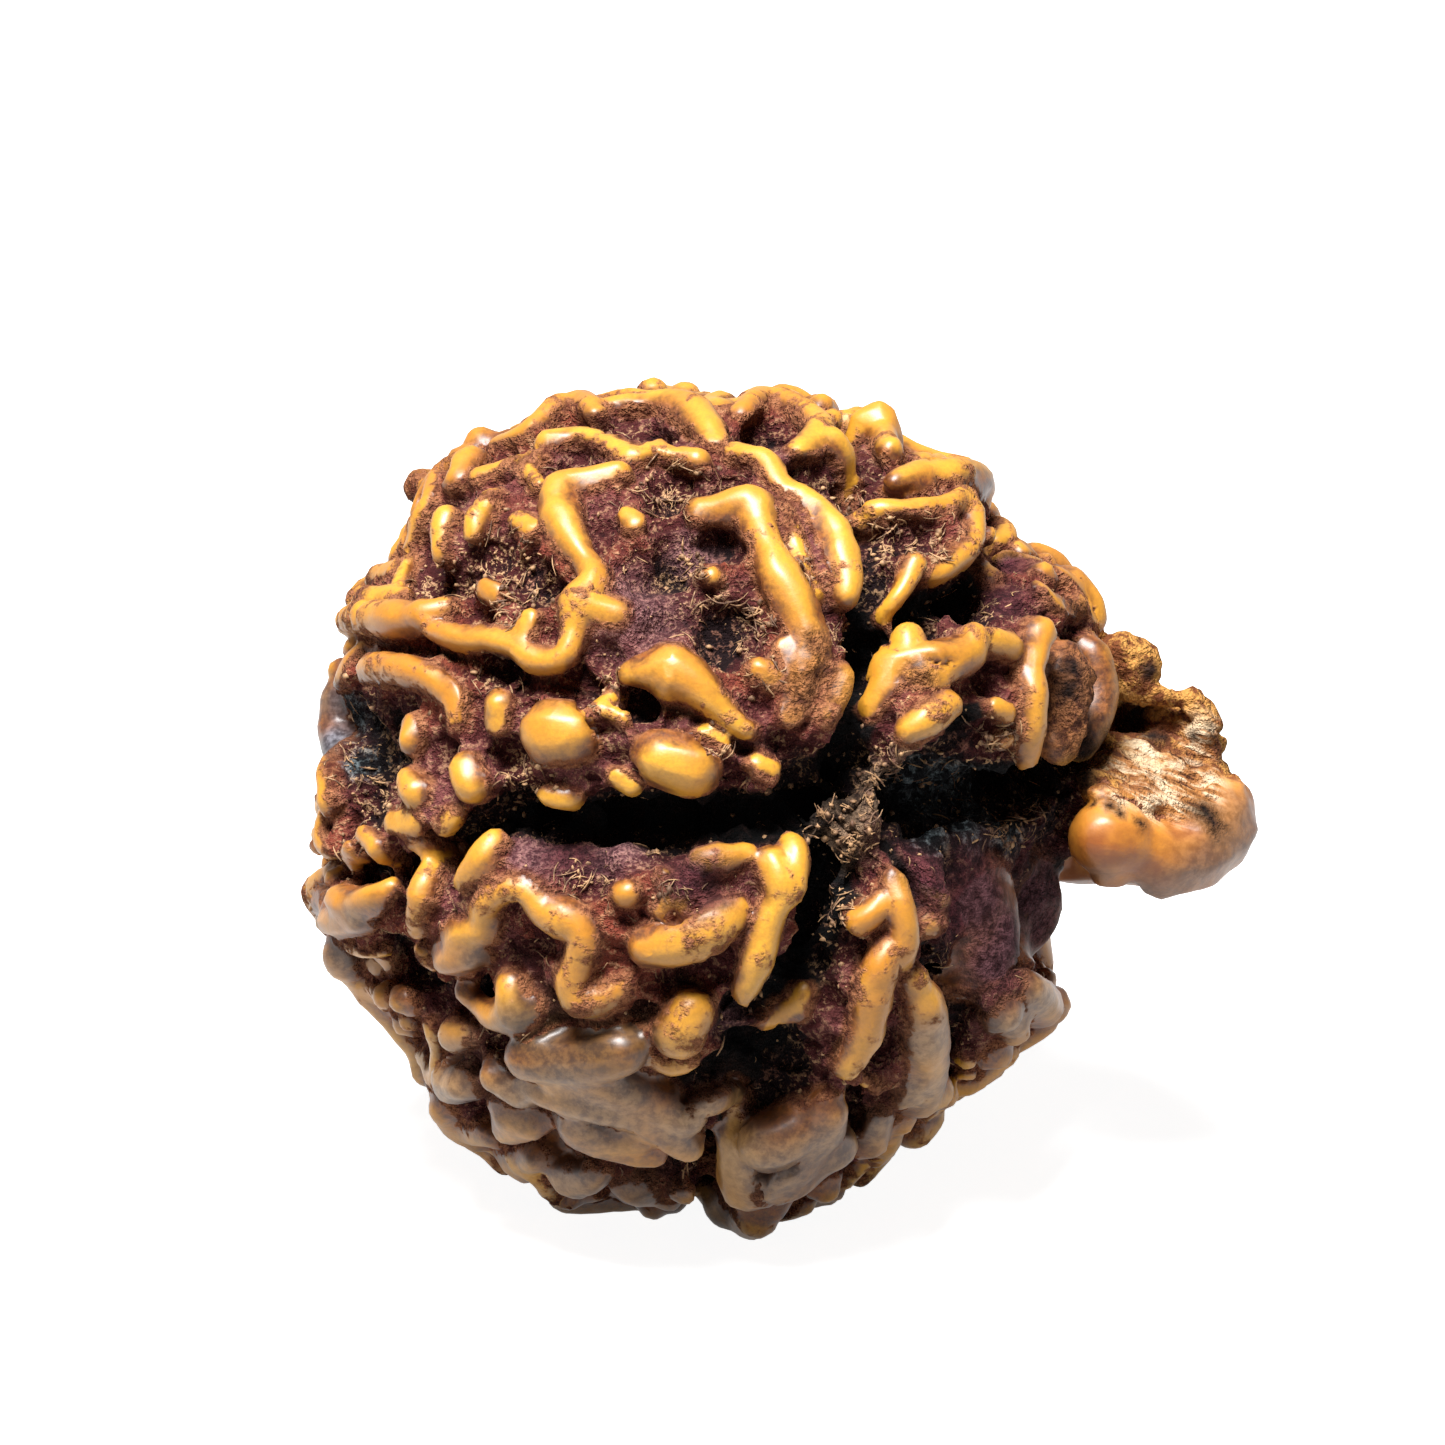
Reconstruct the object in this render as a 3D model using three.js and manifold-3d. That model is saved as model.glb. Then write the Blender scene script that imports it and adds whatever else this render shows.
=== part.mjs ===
// A rudraksha stone with a trunk: one hard seed stone, deeply seamed from pole to pole, covered in a
// raised net of worm-like ridges and beads, with a thick trunk-like outgrowth on one side.
// Millimetres, +Z up. The stone rests on a small worn flat at z = 0, with its middle above x = y = 0.
// +X runs towards the trunk. The face with the stalk scar looks along -Y and a little up.

import * as THREE from 'three';
import { ConvexGeometry } from 'three/addons/geometries/ConvexGeometry.js';
import { ConvexHull } from 'three/addons/math/ConvexHull.js';
import { mergeVertices } from 'three/addons/utils/BufferGeometryUtils.js';
import Module from 'manifold-3d';

// Driving dimensions, in millimetres
const FACE_HEIGHT = 24.1;
const FRONT_DEPTH = 11.2;
const BACK_DEPTH = 11.6;
const BARE_RIM_EVERY_10_DEG = [
  11.0, 11.4, 11.8, 12.0, 11.3, 11.8, 11.3, 11.5, 11.5, 11.2, 11.5, 11.7,
  11.6, 11.7, 10.9, 11.0, 10.7, 10.6, 10.6, 10.9, 10.9, 10.4, 10.2, 11.1,
  11.1, 11.4, 11.0, 11.2, 11.6, 11.1, 10.6, 10.6, 10.8, 11.1, 10.1, 10.5,
];
const WORN_AWAY = 0.25;

// How the face was seen: the picture is square, and its eye looks down on the stone from the front
const PICTURE_PX = 1445;
const FACE_HEIGHT_PX = 845;
const FACE_CENTRE_PX = [702, 805];
const SCAR_PX = [860, 810];
const EYE_ELEVATION = THREE.MathUtils.degToRad(20);
const EYE_DISTANCE = 230;
const MM_PER_PX = FACE_HEIGHT / FACE_HEIGHT_PX;
const RIGHT = new THREE.Vector3(1, 0, 0);
const UP = new THREE.Vector3(0, Math.sin(EYE_ELEVATION), Math.cos(EYE_ELEVATION));
const TO_EYE = new THREE.Vector3(0, -Math.cos(EYE_ELEVATION), Math.sin(EYE_ELEVATION));

// Relief, in millimetres
const RIDGE_LIFT = 0.45;
const CREST_STEEPNESS = 2.6;
const CREST_LIMIT = 1.2;
const FINEST_RIDGE = 0.25;
const SHOULDER_SPREAD = 2.4;
const SHOULDER_SHARE = 0.4;
const BACK_SEAM_HALF = 0.45;
const BACK_STEPS = 6;
const BALL_BLEND = 5;

// Hidden side: ridges grown by a rule from scattered starts, first the long ones and then the short ones
const SEED = 11;
const STARTS = 1600;
const START_STRIDE = 617;
const SEEN_LIMIT = 0.06;
const HIDDEN_HALF = 0.45;
const HIDDEN_HALF_SPREAD = 0.22;
const THINNEST_SHARE = 0.75;
const THINNEST_SHARE_SPREAD = 0.35;
const WALK_STEP = 1.6;
const WALK_TURN = 1.5;
const WALK_GAP = 0.8;
const SEAM_CLEARANCE = 1.15;
const MOST_STATIONS = 5;
const FEWEST_STATIONS = [4, 2];
const TRUNK_CLEARANCE = 0.4;

// Mesh
const STATION_STEP = 1.0;
const SEAM_SPACING = 0.8;
const BODY_SPACING = 1.35;
const TRUNK_SPACING = 0.75;
const FILL_STARTS = 6000;
const GOLDEN_ANGLE = Math.PI * (3 - Math.sqrt(5));
const LOOK_FROM = 15;
const LOOK_TO = -6;
const LOOK_STEP = 0.1;
const WORN_BLOCK = [60, 60, 20];
const STONE_COLOUR = 0x9a6a34;

// Sections of ridges and rings of beads, in half widths across and crest heights up; below 0 is the root
const ROOT_DEPTH = 0.9;
const PROFILE = [[-1.15, -1], [-0.62, 1], [0.62, 1], [1.15, -1]];
const BEAD_RINGS = [{ across: 1.15, up: -1, count: 6 }, { across: 0.6, up: 1, count: 5 }];
const TIP_REACH = 1.1;
const TIP_DEPTH = 0.15;

// Ridges and beads of the face: each is a line of [x, y, half width] in picture pixels
const CROWN_RIDGES = [
  [[497, 438, 8], [528, 427, 9], [560, 406, 13], [578, 400, 14], [594, 409, 9]],
  [[605, 402, 8], [655, 399, 12], [682, 407, 18], [702, 420, 17], [716, 438, 10]],
  [[548, 440, 13], [575, 430, 8], [615, 444, 8], [632, 454, 9], [658, 442, 6]],
  [[618, 472, 11], [588, 476, 12], [560, 490, 18], [561, 518, 18], [583, 556, 10], [594, 578, 13],
    [580, 603, 18], [573, 630, 9], [562, 656, 10], [533, 658, 12], [505, 642, 11], [455, 636, 12],
    [430, 628, 8]],
  [[590, 606, 15], [614, 612, 11]],
  [[345, 622, 12], [390, 618, 17], [425, 615, 16], [442, 606, 9]],
  [[515, 640, 9], [522, 628, 9], [528, 616, 7]],
  [[362, 602, 11], [378, 598, 12], [400, 592, 6]],
  [[470, 460, 15], [456, 476, 13]],
  [[434, 478, 10], [425, 500, 7], [416, 522, 10], [409, 542, 8]],
  [[478, 473, 9], [505, 462, 6]],
  [[490, 497, 9], [475, 520, 11], [470, 530, 8]],
  [[445, 518, 12], [440, 550, 10]],
  [[484, 587, 8], [492, 590, 8]],
  [[625, 511, 6], [633, 520, 9]],
  [[705, 403, 8], [738, 400, 7]],
  [[742, 408, 10], [768, 394, 12], [796, 404, 10], [820, 425, 13], [812, 440, 12], [798, 447, 8]],
  [[830, 440, 14], [852, 448, 14], [864, 458, 9]],
  [[735, 447, 8], [768, 460, 11], [780, 478, 9], [808, 495, 9], [828, 520, 16], [840, 548, 19],
    [847, 575, 15], [848, 592, 11]],
  [[703, 508, 13], [725, 507, 15], [750, 506, 23], [760, 530, 14], [768, 548, 13], [780, 578, 21],
    [800, 612, 20], [811, 645, 16], [812, 672, 12]],
  [[682, 452, 7], [697, 457, 11]],
];
const BROW_RIDGES = [
  [[866, 412, 10], [884, 416, 14], [890, 448, 12]],
  [[925, 475, 12], [950, 475, 16], [978, 476, 15]],
  [[875, 498, 11], [900, 504, 7], [945, 502, 8], [966, 497, 10]],
  [[975, 510, 10], [976, 535, 10], [965, 553, 11], [945, 565, 9]],
  [[917, 562, 10], [905, 590, 8]],
  [[1020, 548, 9], [1036, 558, 8]],
  [[1065, 572, 9], [1097, 598, 9]],
  [[1045, 585, 6], [1060, 598, 8], [1095, 610, 6]],
];
const RIGHT_RIDGES = [
  [[915, 635, 15], [912, 650, 13], [900, 670, 14], [888, 695, 10]],
  [[950, 650, 9], [952, 668, 10], [935, 676, 9], [922, 672, 11]],
  [[973, 638, 13], [972, 654, 13]],
  [[912, 728, 12], [930, 718, 14], [950, 704, 12]],
  [[845, 675, 12], [840, 695, 12], [830, 712, 9]],
  [[1040, 635, 17], [1034, 660, 16], [1033, 700, 14], [1035, 735, 14], [1045, 756, 12]],
  [[990, 640, 11], [1012, 645, 12]],
  [[1085, 640, 8], [1092, 672, 8], [1092, 705, 8], [1090, 750, 8], [1075, 772, 8]],
];
const BAND_RIDGES = [
  [[335, 668, 9]],
  [[365, 668, 12], [390, 667, 14], [415, 672, 13], [435, 681, 10], [452, 697, 9], [453, 716, 6]],
  [[408, 724, 9], [408, 740, 11]],
  [[497, 703, 12], [496, 722, 9]],
  [[553, 732, 30], [570, 732, 28]],
  [[660, 758, 26], [690, 766, 27]],
  [[630, 674, 9], [648, 672, 17], [670, 672, 26], [690, 680, 20], [722, 710, 10], [745, 728, 8]],
  [[760, 763, 8], [773, 769, 9]],
  [[463, 768, 14], [469, 785, 16]],
  [[405, 780, 10], [416, 792, 14]],
  [[322, 765, 8], [325, 785, 10], [326, 803, 11]],
];
const LOWER_LEFT_RIDGES = [
  [[320, 815, 8], [317, 840, 9], [321, 855, 7]],
  [[390, 822, 8], [412, 826, 8]],
  [[446, 819, 9], [436, 830, 7]],
  [[485, 842, 11], [479, 860, 15], [458, 882, 8]],
  [[456, 962, 9], [456, 938, 14], [481, 930, 15], [484, 908, 12], [500, 893, 11], [525, 890, 10],
    [545, 912, 15], [565, 919, 19], [582, 932, 14], [580, 960, 12], [571, 985, 14], [582, 1000, 15],
    [603, 998, 14], [624, 986, 5]],
  [[407, 852, 9], [413, 870, 11], [420, 895, 12], [414, 930, 7]],
  [[338, 900, 16], [355, 905, 17], [372, 897, 15], [382, 888, 8]],
  [[306, 905, 8], [309, 888, 9], [322, 868, 9], [345, 861, 6]],
  [[337, 955, 8], [345, 972, 8], [365, 986, 8], [383, 1000, 8]],
  [[400, 1003, 15]],
  [[510, 988, 14], [514, 1012, 18]],
  [[454, 1036, 15], [467, 1036, 8]],
  [[372, 850, 9]],
  [[625, 894, 11]],
  [[703, 862, 12], [722, 859, 12], [746, 853, 9]],
  [[648, 948, 17], [672, 943, 22], [700, 933, 25], [724, 919, 17], [739, 907, 7]],
  [[798, 846, 10], [799, 866, 12], [790, 888, 15], [775, 908, 13], [765, 938, 15], [757, 962, 14],
    [750, 983, 11], [741, 1003, 7]],
  [[774, 862, 13], [780, 884, 15]],
  [[690, 1014, 20], [680, 1032, 24]],
  [[650, 1058, 7], [672, 1067, 10], [690, 1062, 7]],
  [[816, 1018, 8], [803, 1038, 10], [776, 1054, 7]],
];
const STRAND_RIDGES = [
  [[900, 884, 12], [904, 910, 13], [908, 945, 12], [905, 960, 10]],
  [[887, 905, 9], [868, 927, 12]],
  [[893, 952, 11], [882, 970, 17], [873, 1000, 17], [866, 1035, 16], [848, 1067, 12]],
  [[916, 978, 10], [924, 1005, 17], [926, 1040, 19], [924, 1075, 18], [910, 1100, 11]],
  [[945, 932, 10]],
];
const UNDERSIDE_RIDGES = [
  [[1035, 992, 12], [1050, 1010, 17]],
  [[1008, 1018, 14]],
  [[1000, 1055, 14]],
  [[940, 1095, 14]],
  [[445, 1086, 12], [460, 1086, 13]],
  [[508, 1118, 16], [520, 1122, 14]],
  [[440, 1110, 12], [455, 1130, 12], [485, 1140, 10]],
  [[500, 1090, 9], [530, 1088, 10]],
  [[525, 1066, 7], [545, 1082, 7], [562, 1100, 7]],
  [[578, 1128, 20], [605, 1140, 17], [640, 1142, 12]],
  [[590, 1108, 8], [625, 1122, 9], [655, 1138, 10], [688, 1146, 7]],
  [[550, 1178, 18], [572, 1186, 19], [592, 1180, 12]],
  [[632, 1192, 15], [645, 1200, 10]],
  [[668, 1206, 10]],
  [[685, 1116, 7], [712, 1114, 8], [732, 1130, 8], [743, 1158, 8], [746, 1185, 7]],
  [[712, 1212, 11]],
  [[765, 1190, 30], [795, 1165, 34], [822, 1140, 22], [830, 1118, 16]],
  [[825, 1190, 13]],
  [[872, 1145, 15], [880, 1125, 10]],
];
const TRUNK_RIDGES = [
  [[1112, 652, 11], [1128, 665, 13], [1125, 690, 10]],
  [[1142, 690, 9], [1170, 694, 10], [1198, 712, 9]],
  [[1085, 790, 8], [1108, 792, 9], [1130, 804, 9], [1160, 812, 10]],
  [[1100, 876, 12]],
];

// Seams of the face, from the scar outwards: [x, y, half width] in picture pixels
const SEAMS = [
  { depth: 1.5, line: [[862, 760, 24], [868, 700, 22], [880, 650, 22], [880, 610, 18], [868, 560, 14],
    [860, 500, 13], [855, 465, 12], [848, 425, 12]] },
  { depth: 1.2, line: [[882, 640, 18], [935, 592, 18], [980, 578, 16], [1000, 550, 14], [990, 505, 12]] },
  { depth: 1.6, line: [[910, 795, 30], [980, 792, 34], [1050, 782, 28], [1090, 762, 24], [1122, 715, 18]] },
  { depth: 0.9, line: [[905, 850, 18], [938, 960, 12], [955, 1020, 12], [955, 1060, 12], [945, 1092, 10]] },
  { depth: 1.5, line: [[845, 860, 30], [835, 920, 32], [815, 980, 28], [785, 1035, 26], [760, 1085, 32],
    [728, 1150, 16], [700, 1205, 12]] },
  { depth: 1.5, line: [[850, 812, 30], [780, 820, 30], [700, 816, 30], [620, 815, 26], [560, 822, 22],
    [500, 815, 18], [450, 852, 16], [400, 868, 10], [345, 868, 8], [318, 862, 8]] },
  { depth: 0.8, line: [[850, 805, 20], [800, 782, 14], [745, 748, 9], [700, 718, 8], [600, 691, 8],
    [520, 672, 8], [455, 655, 8], [400, 645, 8], [342, 641, 8]] },
];
const PITS = [
  { depth: 1.5, line: [[915, 792, 30], [960, 797, 38], [1005, 800, 28]] },
  { depth: 0.7, line: [[765, 428, 20], [782, 432, 14]] },
  { depth: 0.8, line: [[372, 965, 24], [405, 965, 26]] },
  { depth: 0.6, line: [[345, 826, 15]] },
  { depth: 0.8, line: [[848, 1142, 10], [852, 1110, 12], [842, 1088, 10]] },
  { depth: 0.7, line: [[545, 1160, 14], [578, 1166, 14]] },
  { depth: 0.9, line: [[690, 985, 24], [740, 1015, 14]] },
];
const SWELLINGS = [
  { height: 0.7, line: [[828, 815, 22], [850, 832, 30], [878, 795, 16], [903, 765, 9]] },
  { height: 0.4, line: [[540, 1035, 40], [590, 1038, 44], [635, 1030, 30]] },
];
const TRUNK_PITS = [
  { depth: 0.5, line: [[1088, 797, 7], [1112, 804, 9], [1140, 817, 8]] },
  { depth: 0.7, line: [[1150, 722, 12], [1185, 733, 12], [1210, 735, 8]] },
  { depth: 0.5, line: [[1212, 800, 12], [1214, 818, 12]] },
  { depth: 0.5, line: [[1116, 868, 12]] },
];

// Balls that make up the trunk, each [x, y, how far it stands forward, radius] in picture pixels
const TRUNK_BALLS = [
  [1098, 836, 150, 42], [1124, 838, 100, 48], [1150, 842, 50, 56], [1200, 828, 20, 54], [1150, 835, -90, 56],
  [1130, 676, 20, 32], [1166, 712, 10, 40], [1190, 745, 10, 34], [1140, 722, -80, 50], [1165, 785, -20, 52],
];
const TRUNK_MIDDLE = [1148, 790, 20];

// Repeatable draws from 0 to 1
function seededDraw(seed) {
  let state = seed;
  return () => {
    state = (state + 0x6d2b79f5) | 0;
    let mixed = Math.imul(state ^ (state >>> 15), 1 | state);
    mixed = (mixed + Math.imul(mixed ^ (mixed >>> 7), 61 | mixed)) ^ mixed;
    return ((mixed ^ (mixed >>> 14)) >>> 0) / 4294967296;
  };
}

// Directions spread evenly over a sphere, as on a sunflower's head
function spiralDirection(index, count) {
  const height = 1 - (2 * index + 1) / count;
  const reach = Math.sqrt(1 - height * height);
  const turn = index * GOLDEN_ANGLE;
  return new THREE.Vector3(reach * Math.cos(turn), reach * Math.sin(turn), height);
}

// A picture place, standing forward of the plane through the stone's middle that faces the eye
function pictureSpot(px, py, forwardPx = 0) {
  const spot = new THREE.Vector3().addScaledVector(RIGHT, (px - FACE_CENTRE_PX[0]) * MM_PER_PX);
  spot.addScaledVector(UP, (FACE_CENTRE_PX[1] - py) * MM_PER_PX);
  return spot.addScaledVector(TO_EYE, forwardPx * MM_PER_PX);
}

const EYE = pictureSpot(PICTURE_PX / 2, PICTURE_PX / 2).addScaledVector(TO_EYE, EYE_DISTANCE);

// The rim of the bare body round the picture, smoothed between its measured radii
function bareRim(angle) {
  const steps = BARE_RIM_EVERY_10_DEG.length;
  const place = ((angle / (2 * Math.PI)) * steps + steps) % steps;
  const first = Math.floor(place) % steps;
  const blend = (1 - Math.cos((place - Math.floor(place)) * Math.PI)) / 2;
  const next = (first + 1) % steps;
  return BARE_RIM_EVERY_10_DEG[first] * (1 - blend) + BARE_RIM_EVERY_10_DEG[next] * blend;
}

function bareBodyRadius(direction) {
  const across = direction.dot(RIGHT);
  const above = direction.dot(UP);
  const forward = direction.dot(TO_EYE);
  const rim = bareRim(Math.atan2(above, across));
  const depth = forward > 0 ? FRONT_DEPTH : BACK_DEPTH;
  return 1 / Math.hypot(Math.hypot(across, above) / rim, forward / depth);
}

const trunkMiddle = pictureSpot(...TRUNK_MIDDLE);
const trunkBalls = TRUNK_BALLS.map(([x, y, forward, radius]) => (
  { middle: pictureSpot(x, y, forward).sub(trunkMiddle), radius: radius * MM_PER_PX }
));

// The balls run into each other softly: the surface lies a little outside the last ball
// that a line from the trunk's middle leaves
function bareTrunkRadius(direction) {
  let sum = 0;
  for (const { middle, radius } of trunkBalls) {
    const along = direction.dot(middle);
    const square = along * along - middle.lengthSq() + radius * radius;
    if (square > 0) sum += Math.exp(BALL_BLEND * (along + Math.sqrt(square)));
  }
  return Math.log(sum) / BALL_BLEND;
}

// Nearest place on a line: how far off it is, in half widths, and the half width there
function nearest(line, point) {
  let share = Infinity;
  let half = line[0].half;
  const along = new THREE.Vector3();
  const out = new THREE.Vector3();
  for (let i = 0; i < Math.max(1, line.length - 1); i += 1) {
    const start = line[i];
    const end = line[Math.min(i + 1, line.length - 1)];
    along.subVectors(end.place, start.place);
    out.subVectors(point, start.place);
    const blend = THREE.MathUtils.clamp(out.dot(along) / Math.max(along.lengthSq(), 1e-9), 0, 1);
    const width = THREE.MathUtils.lerp(start.half, end.half, blend);
    const off = out.addScaledVector(along, -blend).length() / width;
    if (off < share) {
      share = off;
      half = width;
    }
  }
  return { share, half };
}

// How deep a smooth hollow is, as a share of its depth, at a share of its half width from its middle
const hollow = (share) => (share < 1 ? (1 - share * share) ** 2 : 0);

// Height of a ridge's crest: narrow ridges stand taller than they are wide, broad ones are low
const crestHeight = (half) => CREST_LIMIT * (1 - Math.exp((-CREST_STEEPNESS * half) / CREST_LIMIT));

// A rounded mass that can be seen whole from its own middle, with what is sunk into it and raised from it
class Mass {
  constructor(middle, bareRadius) {
    this.middle = middle;
    this.bareRadius = bareRadius;
    this.seams = [];
    this.pits = [];
    this.swellings = [];
    this.ridges = [];
  }

  // The direction in which the eye first meets the mass, or passes closest to it
  seenDirection(px, py, lift) {
    const spot = pictureSpot(px, py);
    const toEye = EYE.clone().sub(spot).normalize();
    let closest = Infinity;
    let found = null;
    for (let ahead = LOOK_FROM; ahead > LOOK_TO; ahead -= LOOK_STEP) {
      const point = spot.clone().addScaledVector(toEye, ahead).sub(this.middle);
      const direction = point.clone().normalize();
      const gap = point.length() - this.bareRadius(direction) - lift;
      if (gap < closest) {
        closest = gap;
        found = direction;
      }
      if (gap < 0) break;
    }
    return found;
  }

  guides(pixels, lift) {
    return pixels.map(([x, y, half]) => (
      { direction: this.seenDirection(x, y, lift), half: half * MM_PER_PX }
    ));
  }

  // A smooth line on a shell of the mass through its guide points, with a width that follows it
  line(guides, shell) {
    const placed = (direction, half) => ({ place: direction.clone().multiplyScalar(shell(direction)), half });
    if (guides.length === 1) return [placed(guides[0].direction, guides[0].half)];
    const places = guides.map(({ direction }) => direction.clone().multiplyScalar(shell(direction)));
    const curve = new THREE.CatmullRomCurve3(places);
    const count = Math.ceil(curve.getLength() / STATION_STEP);
    return Array.from({ length: count + 1 }, (_, i) => {
      const at = (i / count) * (guides.length - 1);
      const first = Math.min(Math.floor(at), guides.length - 2);
      const half = THREE.MathUtils.lerp(guides[first].half, guides[first + 1].half, at - first);
      return placed(curve.getPoint(i / count).normalize(), half);
    });
  }

  // Radius of the ground between the ridges
  groundRadius(direction) {
    const bare = this.bareRadius(direction);
    const point = direction.clone().multiplyScalar(bare);
    let sunk = 0;
    for (const { depth, line } of this.seams) {
      const { share } = nearest(line, point);
      const slit = (1 - SHOULDER_SHARE) * hollow(share) + SHOULDER_SHARE * hollow(share / SHOULDER_SPREAD);
      sunk = Math.max(sunk, depth * slit);
    }
    for (const { depth, line } of this.pits) {
      sunk = Math.max(sunk, depth * hollow(nearest(line, point).share));
    }
    let raised = 0;
    for (const { height, line } of this.swellings) raised += height * hollow(nearest(line, point).share);
    return bare - sunk + raised;
  }

  addSeenRidges(...groups) {
    for (const pixels of groups.flat()) {
      const widest = Math.max(...pixels.map(([, , half]) => half)) * MM_PER_PX;
      if (widest < FINEST_RIDGE) continue;
      const guides = this.guides(pixels, RIDGE_LIFT);
      this.ridges.push(this.line(guides, (direction) => this.groundRadius(direction)));
    }
  }

  // Room round a place, clear of other ridges and of the seams
  hasRoom(place, half, own) {
    const free = (station) => station.place.distanceTo(place) > station.half + half + WALK_GAP;
    if (!this.ridges.every((ridge) => ridge.every(free))) return false;
    if (!own.slice(0, -2).every(free)) return false;
    return this.seams.every(({ line }) => nearest(line, place).share > SEAM_CLEARANCE);
  }

  // One ridge of the hidden side: it wanders from its start until it meets something
  wanderingRidge(start, draw) {
    const widest = HIDDEN_HALF + HIDDEN_HALF_SPREAD * draw();
    const direction = start.clone();
    const heading = new THREE.Vector3(draw() - 0.5, draw() - 0.5, draw() - 0.5).cross(direction).normalize();
    const ridge = [];
    while (ridge.length < MOST_STATIONS) {
      const half = widest * (THINNEST_SHARE + THINNEST_SHARE_SPREAD * draw());
      const place = direction.clone().multiplyScalar(this.groundRadius(direction));
      if (!this.hasRoom(place, half, ridge)) break;
      ridge.push({ place, half });
      heading.applyAxisAngle(direction, (draw() - 0.5) * WALK_TURN);
      direction.addScaledVector(heading, WALK_STEP / place.length()).normalize();
      heading.addScaledVector(direction, -heading.dot(direction)).normalize();
    }
    return ridge;
  }

  // Fills the hidden side, first with long ridges and then with short ones between them
  addHiddenRidges(draw, isHidden) {
    for (const fewest of FEWEST_STATIONS) {
      for (let i = 0; i < STARTS; i += 1) {
        const start = spiralDirection((i * START_STRIDE) % STARTS, STARTS);
        if (!isHidden(start)) continue;
        const ridge = this.wanderingRidge(start, draw);
        if (ridge.length >= fewest) this.ridges.push(ridge);
      }
    }
  }
}

const body = new Mass(new THREE.Vector3(), bareBodyRadius);
const trunk = new Mass(trunkMiddle, bareTrunkRadius);

// Seams run on round the back to the far pole
const backPole = body.seenDirection(...SCAR_PX, 0).negate();

function seamRoundBack({ line, depth }) {
  const guides = body.guides(line, 0);
  const last = guides.at(-1);
  for (let step = 1; step <= BACK_STEPS; step += 1) {
    const share = step / BACK_STEPS;
    const direction = last.direction.clone().lerp(backPole, share).normalize();
    guides.push({ direction, half: THREE.MathUtils.lerp(last.half, BACK_SEAM_HALF, share) });
  }
  return { depth, line: body.line(guides, bareBodyRadius) };
}

body.seams = SEAMS.map(seamRoundBack);
body.pits = PITS.map(({ depth, line }) => ({ depth, line: body.line(body.guides(line, 0), bareBodyRadius) }));
body.swellings = SWELLINGS.map(({ height, line }) => (
  { height, line: body.line(body.guides(line, 0), bareBodyRadius) }
));
body.addSeenRidges(CROWN_RIDGES, BROW_RIDGES, RIGHT_RIDGES, BAND_RIDGES, LOWER_LEFT_RIDGES, STRAND_RIDGES,
  UNDERSIDE_RIDGES);
trunk.pits = TRUNK_PITS.map(({ depth, line }) => (
  { depth, line: trunk.line(trunk.guides(line, 0), bareTrunkRadius) }
));
trunk.addSeenRidges(TRUNK_RIDGES);

const draw = seededDraw(SEED);

// True where one mass's surface lies inside the other, or close to it
function isInside(direction, mass, other) {
  const out = direction.clone().multiplyScalar(mass.bareRadius(direction)).add(mass.middle).sub(other.middle);
  return out.length() < other.bareRadius(out.clone().normalize()) + TRUNK_CLEARANCE;
}

body.addHiddenRidges(draw, (start) => start.dot(TO_EYE) < SEEN_LIMIT && !isInside(start, body, trunk));

// Corners of a mass's mesh, as directions from its middle, kept apart so that no facet is a sliver
function groundCorners(mass, spacing) {
  const corners = [];
  const add = (point, gap) => {
    const direction = point.clone().normalize();
    const least = gap / mass.bareRadius(direction);
    if (corners.every((other) => other.distanceTo(direction) > least)) corners.push(direction);
  };
  for (const { line } of [...mass.seams, ...mass.pits]) {
    line.forEach(({ place, half }, i) => {
      const along = line[Math.min(line.length - 1, i + 1)].place.clone().sub(line[Math.max(0, i - 1)].place);
      const side = new THREE.Vector3().crossVectors(place, along).normalize();
      for (const share of [0, -1, 1]) add(place.clone().addScaledVector(side, share * half), SEAM_SPACING);
    });
  }
  for (let i = 0; i < FILL_STARTS; i += 1) add(spiralDirection(i, FILL_STARTS), spacing);
  return corners;
}

// Joins the corners into the hull of their directions, then pushes each out to the mass's ground
function groundGeometry(mass, spacing) {
  const corners = groundCorners(mass, spacing);
  const hull = new ConvexHull().setFromPoints(corners);
  const numbers = new Map(corners.map((direction, i) => [direction, i]));
  const index = hull.faces.flatMap((face) => (
    [0, 1, 2].map((corner) => numbers.get(face.getEdge(corner).head().point))
  ));
  const places = corners.flatMap((direction) => (
    direction.clone().multiplyScalar(mass.groundRadius(direction)).add(mass.middle).toArray()
  ));
  const geometry = new THREE.BufferGeometry();
  geometry.setAttribute('position', new THREE.Float32BufferAttribute(places, 3));
  geometry.setIndex(index);
  return geometry;
}

const wasm = await Module();
wasm.setup();

function solidFrom(geometry) {
  const mesh = new wasm.Mesh({
    numProp: 3,
    vertProperties: new Float32Array(geometry.attributes.position.array),
    triVerts: new Uint32Array(geometry.index.array),
  });
  return new wasm.Manifold(mesh);
}

function closedSolid(geometry) {
  geometry.deleteAttribute('normal');
  geometry.deleteAttribute('uv');
  return solidFrom(mergeVertices(geometry));
}

// The section of a ridge: its root is sunk into the ground and its back stands over it
function ridgeSection({ place, half }, along) {
  const out = place.clone().normalize();
  const side = new THREE.Vector3().crossVectors(out, along).normalize();
  return PROFILE.map(([across, up]) => {
    const level = up > 0 ? up * crestHeight(half) : -ROOT_DEPTH;
    return place.clone().addScaledVector(side, across * half).addScaledVector(out, level);
  });
}

// The tip of a ridge: it runs out and slopes into the ground
function ridgeTip({ place, half }, away) {
  const out = place.clone().normalize();
  return place.clone().addScaledVector(away, TIP_REACH * half).addScaledVector(out, -TIP_DEPTH);
}

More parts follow.
